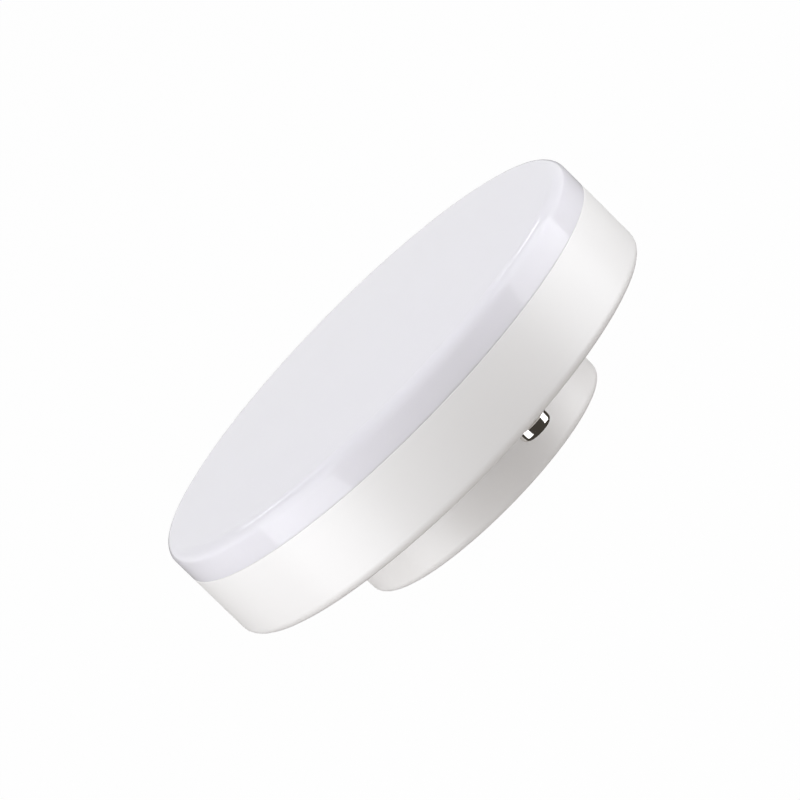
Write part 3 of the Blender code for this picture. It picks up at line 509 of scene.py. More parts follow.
def buildHousing():
    size = {
        "wall": 1.4 * mm,
        "rearEdge": 1.5 * mm,
        "floorEdge": 1.0 * mm,
        "bossRadius": 21.2 * mm,
        "bossDraft": 0.2 * mm,
        "bossEdge": 1.2 * mm,
        "bossRoot": 0.4 * mm,
        "bossWall": 1.5 * mm,
        "cavityEdge": 0.3 * mm,
        "cavityMouth": 0.2 * mm,
        "lip": 0.12 * mm,
        "grooveDepth": 0.45 * mm,
        "grooveTop": 0.9 * mm,  # below the seam
        "grooveWidth": 1.1 * mm,
        "postRadius": 2.5 * mm,
        "boreRadius": 1.15 * mm,
        "boreDepth": 4.1 * mm,
        "collarRadius": 4.0 * mm,
        "collarHeight": 0.8 * mm,
        "studHole": 1.35 * mm,
        "ledgeDepth": 1.8 * mm,
        "ledgeFoot": 0.75 * mm,
        "ledgeAngles": (38, 14),  # degrees from a post to its middle, and its sweep
        "nibDepth": 0.9 * mm,
        "nibHeight": 1.4 * mm,
        "nibAngles": (73, 9),
    }
    back = lamp["backFace"]
    inside = lamp["radius"] - size["wall"]
    backInside = back + size["wall"]
    cavity = size["bossRadius"] - size["bossWall"]
    grooveTop = lamp["seam"] - size["grooveTop"]
    grooveFoot = grooveTop - size["grooveWidth"]
    grooveRadius = inside + size["grooveDepth"]
    corners = [
        (0, size["bossWall"]),
        (cavity, size["bossWall"], size["cavityEdge"]),
        (cavity + size["bossDraft"], backInside, size["cavityMouth"]),
        (inside, backInside, size["floorEdge"]),
        (inside, grooveFoot - size["grooveDepth"]),
        (grooveRadius, grooveFoot),
        (grooveRadius, grooveTop),
        (inside, grooveTop),
        (inside, lamp["seam"]),
        (lamp["radius"], lamp["seam"], size["lip"]),
        (lamp["radius"], back, size["rearEdge"]),
        (size["bossRadius"] + size["bossDraft"], back, size["bossRoot"]),
        (size["bossRadius"], 0, size["bossEdge"]),
        (0, 0),
    ]
    mesh = turnedMesh("housing_shell", corners, lamp["turnSteps"])

    # Posts and collars, then the ledges under the driver board and the nibs over it
    added = bmesh.new()
    root = backInside - size["wall"] / 2
    collarTop = backInside + size["collarHeight"]
    for angle in thirds:
        rod(added, size["postRadius"], root, lamp["postTop"], polar(lamp["postCircle"], angle))
    for side in (-1, 1):
        rod(added, size["collarRadius"], root, collarTop, (0, side * lamp["studCircle"]))
    wallMiddle = cavity + size["bossWall"] / 2
    foot, top = size["ledgeFoot"], lamp["boardFoot"] - lamp["gap"]
    ledgeIn = cavity - size["ledgeDepth"]
    ledge = [(ledgeIn, foot), (wallMiddle, foot), (wallMiddle, top), (ledgeIn, top)]
    foot, nibIn = lamp["boardTop"] + lamp["gap"], cavity - size["nibDepth"]
    nib = [(nibIn, foot), (wallMiddle, foot), (wallMiddle, foot + size["nibHeight"])]
    nib.append((nibIn, foot + size["nibHeight"] / 4))
    for angle in thirds:
        for shape, (middle, sweep) in ((ledge, size["ledgeAngles"]), (nib, size["nibAngles"])):
            sector(added, shape, math.radians(middle) + angle, math.radians(sweep))
    mesh = combined(mesh, added, "UNION")

    holes = bmesh.new()
    postTop = lamp["postTop"]
    for angle in thirds:
        centre = polar(lamp["postCircle"], angle)
        rod(holes, size["boreRadius"], postTop - size["boreDepth"], postTop + lamp["over"], centre)
    for side in (-1, 1):
        centre = (0, side * lamp["studCircle"])
        rod(holes, size["studHole"], back - lamp["over"], collarTop + lamp["over"], centre)
    dress("housing_shell", combined(mesh, holes), "white_housing", "housing")


def buildDiffuser():
    size = {
        "wall": 1.4 * mm,
        "edge": 1.8 * mm,
        "ceilingEdge": 0.5 * mm,
        "seamGap": 0.03 * mm,
        "seamEdge": 0.05 * mm,
        "tongue": 1.2 * mm,
        "tongueLength": 2.3 * mm,
        "tongueEdge": 0.15 * mm,
        "bead": 0.35 * mm,
        "beadHeight": 0.275 * mm,
        "beadTop": 1.05 * mm,  # below the seam
        "slotTop": 0.8 * mm,  # below the seam
        "slotOver": (1.2 * mm, 1.6 * mm),  # past the tongue, inwards and outwards
        "tabs": 6,
        "tabAngle": math.radians(16),
    }
    inside = lamp["radius"] - size["wall"]
    foot = lamp["seam"] + size["seamGap"]
    tongueOut = inside - lamp["gap"]
    tongueIn = tongueOut - size["tongue"]
    tabFoot = lamp["seam"] - size["tongueLength"]
    beadTop = lamp["seam"] - size["beadTop"]
    beadFoot = beadTop - size["beadHeight"]
    shoulder = foot + size["tongue"] / 2
    ceiling = lamp["front"] - size["wall"]
    corners = [
        (0, lamp["front"]),
        (lamp["radius"], lamp["front"], size["edge"]),
        (lamp["radius"], foot, size["seamEdge"]),
        (tongueOut, foot),
        (tongueOut, beadTop),
        (tongueOut + size["bead"], beadTop),
        (tongueOut + size["bead"], beadFoot),
        (tongueOut, beadFoot - size["bead"]),
        (tongueOut, tabFoot, size["tongueEdge"]),
        (tongueIn, tabFoot, size["tongueEdge"]),
        (tongueIn, shoulder),
        (inside, shoulder + inside - tongueIn),
        (inside, ceiling, size["ceilingEdge"]),
        (0, ceiling),
    ]
    mesh = turnedMesh("diffuser_cover", corners, lamp["turnSteps"], 8)
    near, far = tongueIn - size["slotOver"][0], tongueOut + size["slotOver"][1]
    low, high = tabFoot - lamp["over"], lamp["seam"] - size["slotTop"]
    slot = [(near, low), (far, low), (far, high), (near, high)]
    slots = bmesh.new()
    step = math.tau / size["tabs"]
    for k in range(size["tabs"]):
        sector(slots, slot, step * (k + 0.5), step - size["tabAngle"], 40)
    dress("diffuser_cover", combined(mesh, slots), "milky_cover", "diffuser")


def buildStuds():
    size = {
        "head": 2.53 * mm,
        "headHeight": 1.9 * mm,
        "headEdge": 0.85 * mm,
        "headBack": 0.25 * mm,
        "neck": 1.5 * mm,
        "neckLength": 1.7 * mm,
        "neckEdge": 0.1 * mm,
        "neckRoot": 0.12 * mm,
        "shank": 1.2 * mm,
        "rivet": 1.9 * mm,
        "rivetHeight": 0.8 * mm,
        "rivetEdge": 0.5 * mm,
        "rivetRoot": 0.08 * mm,
    }
    headTop = lamp["backFace"] - size["neckLength"]
    headEnd = headTop - size["headHeight"]
    neckTop = lamp["backFace"] - lamp["gap"]
    rivetFoot = lamp["tagTop"] + lamp["gap"]
    corners = [
        (0, rivetFoot + size["rivetHeight"]),
        (size["rivet"], rivetFoot + size["rivetHeight"], size["rivetEdge"]),
        (size["rivet"], rivetFoot, size["rivetRoot"]),
        (size["shank"], rivetFoot),
        (size["shank"], neckTop),
        (size["neck"], neckTop, size["neckEdge"]),
        (size["neck"], headTop, size["neckRoot"]),
        (size["head"], headTop, size["headBack"]),
        (size["head"], headEnd, size["headEdge"]),
        (0, headEnd),
    ]
    for number, side in pair:
        place = Matrix.Translation((0, side * lamp["studCircle"], 0))
        turnedPiece(f"stud_{number}", corners, 72, 6, place, "plated_stud", f"contact_pin_{number}")


# Light board, cup and their screws

def screwHoles(radius, foot, top):
    holes = bmesh.new()
    for angle in thirds:
        rod(holes, radius, foot - lamp["over"], top + lamp["over"], polar(lamp["postCircle"], angle), 40)
    return holes


def roundPlate(name, slot, node, hole, rounding, screwHole=0.0):
    # A flat round plate of the node's size, with a hole in the middle and holes for the board screws.
    low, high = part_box(node)
    corners = [(high.x, high.z, rounding), (high.x, low.z, rounding)]
    if hole:
        corners = [(hole, high.z, rounding), *corners, (hole, low.z, rounding)]
    else:
        corners = [(0, high.z), *corners, (0, low.z)]
    mesh = turnedMesh(name, corners, lamp["plateSteps"], 2)
    if screwHole:
        mesh = combined(mesh, screwHoles(screwHole, low.z, high.z))
    dress(name, mesh, slot, node)


def buildPlates():
    size = {
        "wireHole": 3.0 * mm,
        "screwHole": 1.5 * mm,
        "sheet": 0.8 * mm,
        "bend": 1.4 * mm,
        "cut": 0.12 * mm,  # rounding of a punched edge
        "boardEdge": 0.08 * mm,
        "filmEdge": 0.03 * mm,
    }
    low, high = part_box("heat_sink")
    inside = high.x - size["sheet"]
    under = high.z - size["sheet"]
    corners = [
        (size["wireHole"], high.z, size["cut"]),
        (high.x, high.z, size["bend"]),
        (high.x, low.z, size["cut"]),
        (inside, low.z, size["cut"]),
        (inside, under, size["bend"] - size["sheet"]),
        (size["wireHole"], under, size["cut"]),
    ]
    cup = turnedMesh("heat_sink_cup", corners, lamp["plateSteps"], 5)
    cup = combined(cup, screwHoles(size["screwHole"], low.z, high.z))
    dress("heat_sink_cup", cup, "pressed_aluminium", "heat_sink")
    hole, edge = size["wireHole"], size["boardEdge"]
    roundPlate("light_board_plate", "white_mask", "led_board", hole, edge, size["screwHole"])
    roundPlate("insulating_sheet", "clear_sheet", "insulating_disc", hole, size["filmEdge"])
    roundPlate("driver_plate", "green_board", "driver_board", 0, edge)


def buildChips():
    size = {
        "length": 3.5 * mm,
        "width": 2.8 * mm,
        "edge": 0.07 * mm,
        "border": 0.28 * mm,
        "windowCorner": 0.55 * mm,
        "windowDepth": 0.1 * mm,
        "solder": (0.42 * mm, 2.2 * mm, 0.3 * mm),
        "solderEdge": 0.12 * mm,
    }
    low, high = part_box("led_01")
    height = high.z - low.z
    bm = bmesh.new()
    block(bm, (size["length"], size["width"], height), (0, 0, height / 2), size["edge"])
    borders = 2 * size["border"]
    window = bmesh.new()
    opening = (size["length"] - borders, size["width"] - borders, 2 * size["windowDepth"])
    block(window, opening, (0, 0, height), size["windowCorner"], 5, upright=True)
    pattern = combined(meshFrom(bm, "chip"), window)
    solder = bmesh.new()
    for number in range(1, 17):
        node = f"led_{number:02d}"
        low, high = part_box(node)
        place = standing(node, math.atan2(low.y + high.y, low.x + high.x) - math.pi / 2)
        setPiece(f"chip_{number:02d}", pattern.copy(), place, "led_body", node)
        for side in (-1, 1):
            centre = (side * size["length"] / 2, 0, size["solder"][2] / 2 + lamp["lightTop"] - low.z)
            points = block(solder, size["solder"], centre, size["solderEdge"])
            bmesh.ops.transform(solder, matrix=place, verts=points)
    dress("chip_solder", meshFrom(solder, "chip_solder"), "tinned_tag")


def buildScrews():
    size = {
        "head": 2.2 * mm,
        "headHeight": 1.4 * mm,
        "headEdge": 0.7 * mm,
        "headRoot": 0.08 * mm,
        "core": 0.78 * mm,
        "shank": 1.0 * mm,
        "pitch": 0.7 * mm,
        "turns": 6,
        "tip": 0.5 * mm,
        "cross": (2.4 * mm, 0.5 * mm, 1.6 * mm),
        "threadSteps": 24,  # for each turn
        "threadRoot": 0.97,  # of the core, so the ridge starts inside it
        "threadHalf": (0.2, 0.03),  # of the pitch, at the root and at the tip of the ridge
    }
    low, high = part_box("board_screw_1")
    length = high.z - low.z - size["headHeight"]
    corners = [
        (0, size["headHeight"]),
        (size["head"], size["headHeight"], size["headEdge"]),
        (size["head"], 0, size["headRoot"]),
        (size["core"], 0),
        (size["core"], size["tip"] - length),
        (size["core"] / 3, -length),
        (0, -length),
    ]
    mesh = crossCut(turnedMesh("screw", corners, 64), size["cross"], size["headHeight"])
    foot, root, tip = size["tip"] - length, size["core"] * size["threadRoot"], size["shank"]
    wide, narrow = (size["pitch"] * share for share in size["threadHalf"])
    ridge = [(root, foot + wide), (root, foot - wide), (tip, foot - narrow), (tip, foot + narrow)]
    thread = bmesh.new()
    face = outline(thread, ridge)
    steps = size["turns"] * size["threadSteps"]
    rise = size["pitch"] / size["threadSteps"]
    spin(thread, [face, *face.edges, *face.verts], math.tau * size["turns"], steps, rise)
    pattern = combined(mesh, thread, "UNION")
    for number, angle in enumerate(thirds, 1):
        place = Matrix.Translation(polar(lamp["postCircle"], angle, high.z - size["headHeight"]))
        place = place @ Matrix.Rotation(angle, 4, "Z")
        setPiece(f"screw_{number}", pattern.copy(), place, "zinc_screw", f"board_screw_{number}")


def buildTags():
    size = {"ring": 3.2 * mm, "hole": 1.35 * mm, "tongueWidth": 2.6 * mm}
    for number, side in pair:
        node = f"pin_tag_{number}"
        low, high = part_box(node)
        sheet = high.z - low.z
        bm = bmesh.new()
        rod(bm, size["ring"], 0, sheet, (0, 0), 72)
        tongue = bmesh.new()
        block(tongue, (size["tongueWidth"], lamp["tagReach"], sheet), (0, lamp["tagReach"] / 2, sheet / 2))
        mesh = combined(meshFrom(bm, "tag"), tongue, "UNION")
        hole = bmesh.new()
        rod(hole, size["hole"], -lamp["over"], lamp["over"], (0, 0), 40)
        inwards = Matrix.Rotation(0 if side < 0 else math.pi, 4, "Z")
        place = Matrix.Translation((0, side * lamp["studCircle"], low.z)) @ inwards
        setPiece(f"ring_tag_{number}", combined(mesh, hole), place, "tinned_tag", node)


# Driver parts, each built on its own foot and then set where its node stands

solderPoints = []  # where legs go through the driver board


def setLegs(place, legs):
    solderPoints.extend(place @ Vector((x, y, 0)) for x, y in legs)


def setTwoLegs(place, spread):
    setLegs(place, [(-spread, 0), (spread, 0)])


def buildCapacitor(name, node, diameter, length, place):
    size = {
        "edge": 0.45 * mm,
        "groove": 0.4 * mm,
        "grooveHeight": 1.5 * mm,
        "grooveEdge": 0.2 * mm,
        "rim": 0.8 * mm,  # of the sleeve, round the bare top
        "rimEdge": 0.04 * mm,
        "sleeve": 0.12 * mm,
        "disc": 0.1 * mm,  # thickness of the bare top and of the rubber
        "plug": 1.1 * mm,  # how far the rubber stays inside the can's edge
        "vent": (0.18 * mm, 0.06 * mm),
        "ventReach": 1.5,  # times the radius of the top
    }
    radius = diameter / 2
    bare = radius - size["rim"]
    groove = radius - size["groove"]
    plug = radius - size["plug"]

    def flatDisc(part, reach, top):
        under = top - size["disc"]
        corners = [(0, top), (reach, top), (reach, under), (0, under)]
        return turnedMesh(f"{name}_{part}", corners, 64 if part == "top" else 48)

    corners = [
        (0, length - 2 * size["sleeve"]),
        (bare, length - 2 * size["sleeve"]),
        (bare, length, size["rimEdge"]),
        (radius, length, size["edge"]),
        (radius, size["grooveHeight"] + size["groove"]),
        (groove, size["grooveHeight"], size["grooveEdge"]),
        (radius, size["grooveHeight"] - size["groove"]),
        (radius, 0, size["edge"]),
        (plug, 0, size["rimEdge"]),
        (plug, 2 * size["sleeve"]),
        (0, 2 * size["sleeve"]),
    ]
    turnedPiece(f"{name}_sleeve", corners, 64, 4, place, "can_sleeve", node)
    top = length - size["sleeve"]
    width, depth = size["vent"]
    lid = crossCut(flatDisc("top", bare, top), (bare * size["ventReach"], width, depth * 2), top)
    setPiece(f"{name}_top", lid, place, "pressed_aluminium")
    rubber = flatDisc("plug", plug, size["sleeve"] + size["disc"])
    setPiece(f"{name}_plug", rubber, place, "black_package")


def buildCapacitors():
    size = {
        "input": (8.0 * mm, 12.0 * mm),
        "inputTurn": math.radians(-52.5),
        "output": (6.3 * mm, 8.0 * mm),
        "inputSpread": 1.75 * mm,  # half the distance of the legs
        "outputSpread": 1.25 * mm,
        "legReach": 0.9 * mm,
        "legStart": 0.1 * mm,
        "leg": 0.55 * mm,
    }
    diameter, length = size["input"]
    lying = standing("input_capacitor", size["inputTurn"] - math.pi / 2)
    lying = lying @ Matrix.Translation((-length / 2, 0, diameter / 2)) @ Matrix.Rotation(math.pi / 2, 4, "Y")
    buildCapacitor("input_can", "input_capacitor", diameter, length, lying)
    down = diameter / 2 + lamp["gap"]
    reach = size["legReach"]
    for number, side in pair:
        aside = side * size["inputSpread"]
        route = [(0, aside, size["legStart"]), (0, aside, -reach / 2)]
        route += [(reach / 2, aside, -reach), (down, aside, -reach)]
        leg = wireMesh("input_leg", route, size["leg"])
        setPiece(f"input_can_leg_{number}", leg, lying, "tinned_tag")
        solderPoints.append(lying @ Vector(route[-1]))
    upright = standing("output_capacitor")
    buildCapacitor("output_can", "output_capacitor", *size["output"], upright)
    setTwoLegs(upright, size["outputSpread"])


def buildTransformer():
    size = {
        "turn": math.radians(108),
        "bobbin": (11.0 * mm, 8.8 * mm, 1.5 * mm),
        "core": (10.1 * mm, 4.8 * mm, 7.6 * mm),
        "coreLift": 0.8 * mm,
        "coreSplit": 0.05 * mm,
        "edge": 0.2 * mm,
        "coil": (6.6 * mm, 8.3 * mm, 5.5 * mm),
        "coilLift": 2.0 * mm,
        "coilEdge": 1.0 * mm,
        "pinPitch": 2.5 * mm,
        "pinRow": 3.6 * mm,
    }
    place = standing("transformer", size["turn"])
    core = bmesh.new()
    length, width, height = size["core"]
    half = (height - size["coreSplit"]) / 2
    for level in (half / 2, height - half / 2):
        block(core, (length, width, half), (0, 0, size["coreLift"] + level), size["edge"], 3)
    setPiece("transformer_core", meshFrom(core, "core"), place, "ferrite", "transformer")
    blockPiece("transformer_coil", size["coil"], size["coilLift"], size["coilEdge"], 6, place, "yellow_film")
    blockPiece("transformer_bobbin", size["bobbin"], 0, size["edge"], 3, place, "black_package")
    for side in (-1, 1):
        setLegs(place, [(size["pinPitch"] * k, side * size["pinRow"]) for k in (-1.5, -0.5, 0.5, 1.5)])


def buildChoke():
    size = {
        "radius": 3.5 * mm,
        "height": 7.2 * mm,
        "flange": 1.2 * mm,
        "drum": 2.6 * mm,
        "edge": 0.18 * mm,
        "wire": 0.3 * mm,
        "wireEdge": 0.3,  # of the wire, its rounding in the winding
        "winding": 3.0 * mm,
        "windingSink": 0.1 * mm,  # into the drum
        "legSpread": 1.9 * mm,
    }
    place = standing("filter_choke")
    high, low, edge = size["height"] - size["flange"], size["flange"], size["edge"]
    corners = [
        (0, size["height"]),
        (size["radius"], size["height"], edge),
        (size["radius"], high, edge),
        (size["drum"], high),
        (size["drum"], low),
        (size["radius"], low, edge),
        (size["radius"], 0, edge),
        (0, 0),
    ]
    turnedPiece("choke_drum", corners, 72, 3, place, "ferrite", "filter_choke")
    core, wire = size["drum"] - size["windingSink"], size["wire"]
    between = size["winding"] - wire / 2
    corners = [(core, high), (between, high)]
    for k in range(round((high - low) / wire)):
        level = high - (k + 1) * wire
        corners += [(size["winding"], level + wire / 2, wire * size["wireEdge"]), (between, level)]
    corners.append((core, low))
    turnedPiece("choke_winding", corners, 72, 3, place, "red_wire")
    setTwoLegs(place, size["legSpread"])


def buildVaristor():
    size = {
        "turn": math.radians(-34.5),
        "radius": 3.3 * mm,
        "thickness": 3.2 * mm,
        "edge": 0.9 * mm,
        "lift": 1.2 * mm,
        "leg": 0.6 * mm,
        "legs": [(1.7 * mm, -0.5 * mm), (-1.7 * mm, 0.5 * mm)],
        "legTop": 0.4,  # of the radius, into the disc
    }
    place = standing("varistor", size["turn"])
    half, radius, edge = size["thickness"] / 2, size["radius"], size["edge"]
    corners = [(0, half), (radius, half, edge), (radius, -half, edge), (0, -half)]
    upright = Matrix.Translation((0, 0, radius + size["lift"])) @ Matrix.Rotation(math.pi / 2, 4, "X")
    turnedPiece("varistor_disc", corners, 72, 6, place @ upright, "blue_disc", "varistor")
    legs = bmesh.new()
    for leg in size["legs"]:
        rod(legs, size["leg"] / 2, -lamp["gap"], size["lift"] + radius * size["legTop"], leg, 20)
    setPiece("varistor_legs", meshFrom(legs, "legs"), place, "tinned_tag")
    setLegs(place, size["legs"])


def buildFilmCapacitor():
    size = {
        "turn": math.radians(27),
        "box": (7.2 * mm, 3.5 * mm, 6.5 * mm),
        "edge": 0.5 * mm,
        "legSpread": 2.5 * mm,
    }
    place = standing("film_capacitor", size["turn"])
    blockPiece("film_box", size["box"], 0, size["edge"], 5, place, "yellow_film", "film_capacitor")
    setTwoLegs(place, size["legSpread"])


def buildResistor():
    size = {
        "turn": math.radians(-70),
        "radius": 1.5 * mm,
        "half": 3.1 * mm,
        "cap": 0.9 * mm,
        "waist": 0.2 * mm,
        "edge": 0.5 * mm,
        "waistEdge": 0.15 * mm,
        "leg": 0.6 * mm,
        "legSink": 0.2 * mm,  # into the body
        "legReach": 1.5,  # leg diameters past the body
    }
    place = standing("fusible_resistor", size["turn"])
    height = size["radius"] + size["leg"]
    half, shoulder = size["half"], size["half"] - size["cap"]
    end = [
        (size["radius"], half, size["edge"]),
        (size["radius"], shoulder, size["waistEdge"]),
        (size["radius"] - size["waist"], shoulder - size["waist"], size["waistEdge"]),
    ]
    otherEnd = [(radius, -level, edge) for radius, level, edge in reversed(end)]
    corners = [(0, half), *end, *otherEnd, (0, -half)]
    lying = place @ Matrix.Translation((0, 0, height)) @ Matrix.Rotation(math.pi / 2, 4, "Y")
    turnedPiece("resistor_body", corners, 48, 4, lying, "resistor_grey", "fusible_resistor")
    reach = half + size["leg"] * size["legReach"]
    for number, side in pair:
        route = [
            (side * (half - size["legSink"]), 0, height),
            (side * (reach - size["leg"]), 0, height),
            (side * reach, 0, height - size["leg"]),
            (side * reach, 0, -lamp["gap"]),
        ]
        leg = wireMesh("resistor_leg", route, size["leg"])
        setPiece(f"resistor_leg_{number}", leg, place, "tinned_tag")
    setTwoLegs(place, reach)


def gullLeg(bm, along, side, width, packageWidth, height, reach):
    # A flat leg bent down to the board and out again, swept along X.
    leg = {
        "sheet": 0.2 * mm,
        "level": 0.42,  # of the package's height
        "knee": (0.45, 0.6),  # of the reach: the outer bend at its top and foot
        "hollow": (0.4, 0.25),  # the inner bend at its foot and top
    }
    edge = packageWidth / 2
    sheet, middle = leg["sheet"], height * leg["level"]
    shape = [
        (edge - sheet, middle + sheet),
        (edge + reach * leg["knee"][0], middle + sheet),
        (edge + reach * leg["knee"][1], sheet),
        (edge + reach, sheet),
        (edge + reach, 0),
        (edge + reach * leg["hollow"][0], 0),
        (edge + reach * leg["hollow"][1], middle),
        (edge - sheet, middle),
    ]
    face = bm.faces.new([bm.verts.new((along - width / 2, side * y, z)) for y, z in shape])
    grown = bmesh.ops.extrude_face_region(bm, geom=[face])["geom"]
    moved = [item for item in grown if isinstance(item, bmesh.types.BMVert)]
    bmesh.ops.translate(bm, verts=moved, vec=(width, 0, 0))


def buildPackages():
    packages = {
        "bridge_rectifier": {"turn": -101, "size": (4.7, 3.6, 2.4), "legs": 2, "legWidth": 0.6},
        "driver_chip": {"turn": 148, "size": (4.9, 3.9, 1.5), "legs": 4, "legWidth": 0.4},
        "flyback_diode": {"turn": 0, "size": (2.6, 4.3, 2.1), "legs": 1, "legWidth": 1.4},
    }
    size = {
        "reach": 0.8 * mm,
        "lift": 0.08 * mm,
        "draft": 0.93,  # the top against the foot
        "edge": 0.12 * mm,
        "dimple": 0.35 * mm,
        "dimpleDepth": 0.08 * mm,
        "dimplePlace": 0.66,  # of the way to the corner
    }
    for node, package in packages.items():
        length, width, height = (value * mm for value in package["size"])
        place = standing(node, math.radians(package["turn"]))
        bm = bmesh.new()
        points = block(bm, (length, width, height - size["lift"]), (0, 0, (height + size["lift"]) / 2))
        top = [point for point in points if point.co.z > height / 2]
        bmesh.ops.scale(bm, vec=(size["draft"], size["draft"], 1), verts=top)
        rounded(bm, bm.edges[:], size["edge"], 2)
        dimple = bmesh.new()
        corner = [-side / 2 * size["dimplePlace"] for side in (length, width)]
        rod(dimple, size["dimple"], height - size["dimpleDepth"], height + lamp["over"], corner, 32)
        body = combined(meshFrom(bm, f"{node}_body"), dimple)
        setPiece(f"{node}_body", body, place, "black_package", node)
        legs = bmesh.new()
        legWidth = package["legWidth"] * mm
        pitch = (length - legWidth) / package["legs"]
        for k in range(package["legs"]):
            for side in (-1, 1):
                along = (k + 0.5 - package["legs"] / 2) * pitch
                gullLeg(legs, along, side, legWidth, width, height, size["reach"])
        setPiece(f"{node}_legs", meshFrom(legs, f"{node}_legs"), place, "tinned_tag")


def buildSenseResistor():
    size = {
        "turn": math.radians(29),
        "body": (2.7 * mm, 1.52 * mm, 0.52 * mm),
        "bodyEdge": 0.04 * mm,
        "cap": (0.5 * mm, 1.6 * mm, 0.6 * mm),
        "capEdge": 0.08 * mm,
    }
    place = standing("sense_resistor", size["turn"])
    body, cap = size["body"], size["cap"]
    lift = (cap[2] - body[2]) / 2
    blockPiece("sense_body", body, lift, size["bodyEdge"], 2, place, "black_package", "sense_resistor")
    caps = bmesh.new()
    for side in (-1, 1):
        block(caps, cap, (side * body[0] / 2, 0, cap[2] / 2), size["capEdge"])
    setPiece("sense_caps", meshFrom(caps, "sense_caps"), place, "tinned_tag")


def buildWires():
    size = {
        "wire": 1.3 * mm,
        "landing": 17.0 * mm,  # of the mains wires on the driver board, from the axis
        "spread": 1.4 * mm,
        "offset": -1.2 * mm,
        "reach": 3.0 * mm,
        "rise": 1.8 * mm,
        "bends": (0.25, 0.75, 1.5),  # of the reach, where a light wire turns, dips and ends
        "blob": (1.7 * mm, 1.7 * mm, 1.1 * mm),
        "blobLift": 0.4,  # of its height
        "cupSheet": 0.8 * mm,
        "joint": (0.3 * mm, 0.75 * mm, 0.8 * mm),  # radius at the tip and at the board, length
    }
    half = size["wire"] / 2
    foot = lamp["boardTop"] + lamp["gap"]
    onTag = lamp["tagTop"] + lamp["gap"] + half
    solder = bmesh.new()

    def blob(x, y, height):
        place = Vector((x, y, height + size["blob"][2] * size["blobLift"]))
        matrix = Matrix.LocRotScale(place, None, Vector(size["blob"]) / 2)
        bmesh.ops.create_uvsphere(solder, u_segments=24, v_segments=14, radius=1, matrix=matrix)

    end, landing = lamp["studCircle"] - lamp["tagReach"], size["landing"]
    onTongue = end + lamp["tagReach"] / 2
    for number, side in pair:
        route = [(onTongue, onTag), (end, onTag), (landing + (end - landing) / 4, onTag - half)]
        route += [(landing, (onTag + foot) / 2), (landing, foot)]
        wire = wireMesh("mains_wire", [(0, side * y, z) for y, z in route], size["wire"])
        dress(f"mains_wire_{number}", wire, "white_wire", f"mains_lead_{number}")
        blob(0, side * onTongue, lamp["tagTop"])
        solderPoints.append(Vector((0, side * landing, foot)))
    lightTop, underCup = lamp["lightTop"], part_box("heat_sink")[1].z - size["cupSheet"]
    onBoard = lightTop + lamp["gap"] + half
    y = size["offset"]
    for name, side, slot in (("plus", 1, "red_wire"), ("minus", -1, "black_wire")):
        x = side * size["spread"]
        turn, dip, last = (x + side * size["reach"] * share for share in size["bends"])
        route = [(x, foot), (x, underCup), (x, lightTop + half), (turn, lightTop + size["rise"])]
        route += [(dip, onBoard + half / 2), (last, onBoard)]
        wire = wireMesh("light_wire", [(along, y, z) for along, z in route], size["wire"])
        dress(f"light_wire_{name}", wire, slot, f"led_lead_{name}")
        blob(last, y, lightTop)
        solderPoints.append(Vector((x, y, foot)))
    narrow, wide, length = size["joint"]
    for point in solderPoints:
        cone(solder, narrow, wide, length, (point.x, point.y, lamp["boardFoot"] - length / 2), 20)
    dress("solder_joints", meshFrom(solder, "solder_joints"), "tinned_tag")


buildHousing()
buildDiffuser()
buildStuds()
print("casing and studs built")
buildPlates()
buildChips()
buildScrews()
buildTags()
print("light board and cup built")
buildCapacitors()
buildTransformer()
buildChoke()
buildVaristor()
buildFilmCapacitor()
buildResistor()
buildPackages()
buildSenseResistor()
buildWires()
print("driver built")


# Studio: floor, lamps, a dark card behind the camera, the world and the camera

view = {
    "azimuth": -20.8,  # 0 looks along +Y
    "elevation": 11.7,
    "roll": -45.57,
    "distance": 1.0,
    "middle": (424, 417.5),  # where the middle of the lamp's height falls in the 800 pixel frame
    "scale": 7360,  # pixels for each metre at that distance
    "frame": 800,
}
lampMiddle = Vector((0, 0, lamp["front"] / 2))


def fromLamp(turn, elevation, distance):
    # A point round the lamp, where turn 0 is the camera's side and 90 the right of the upright picture.
    flat = math.radians(view["azimuth"] - 90 + turn)
    tilt = math.radians(elevation)
    away = Vector((math.cos(flat) * math.cos(tilt), math.sin(flat) * math.cos(tilt), math.sin(tilt)))
    return lampMiddle + away * distance


def aimed(thing, place):
    thing.location = place
    thing.rotation_mode = "QUATERNION"
    thing.rotation_quaternion = (lampMiddle - place).to_track_quat("-Z", "Y")
    scene.collection.objects.link(thing)


def softBox(name, box, colour):
    light = bpy.data.lights.new(name, "AREA")
    light.shape = "RECTANGLE"
    light.size, light.size_y = box["size"]
    light.energy = box["radiance"] * math.pi * box["size"][0] * box["size"][1]
    light.color = colour
    lit = bpy.data.objects.new(name, light)
    aimed(lit, fromLamp(box["turn"], box["tilt"], box["away"]))
    return lit


def stagePiece(name, bm, surfaceOf, unseenBy):
    # A piece of the studio, which isn't part of the lamp.
    sheet = bpy.data.objects.new(name, meshFrom(bm, name))
    shader = Shader(bpy.data.materials.new(name))
    shader.show(surfaceOf(shader))
    sheet.data.materials.append(shader.owner)
    for kind in unseenBy:
        setattr(sheet, f"visible_{kind}", False)
    return sheet


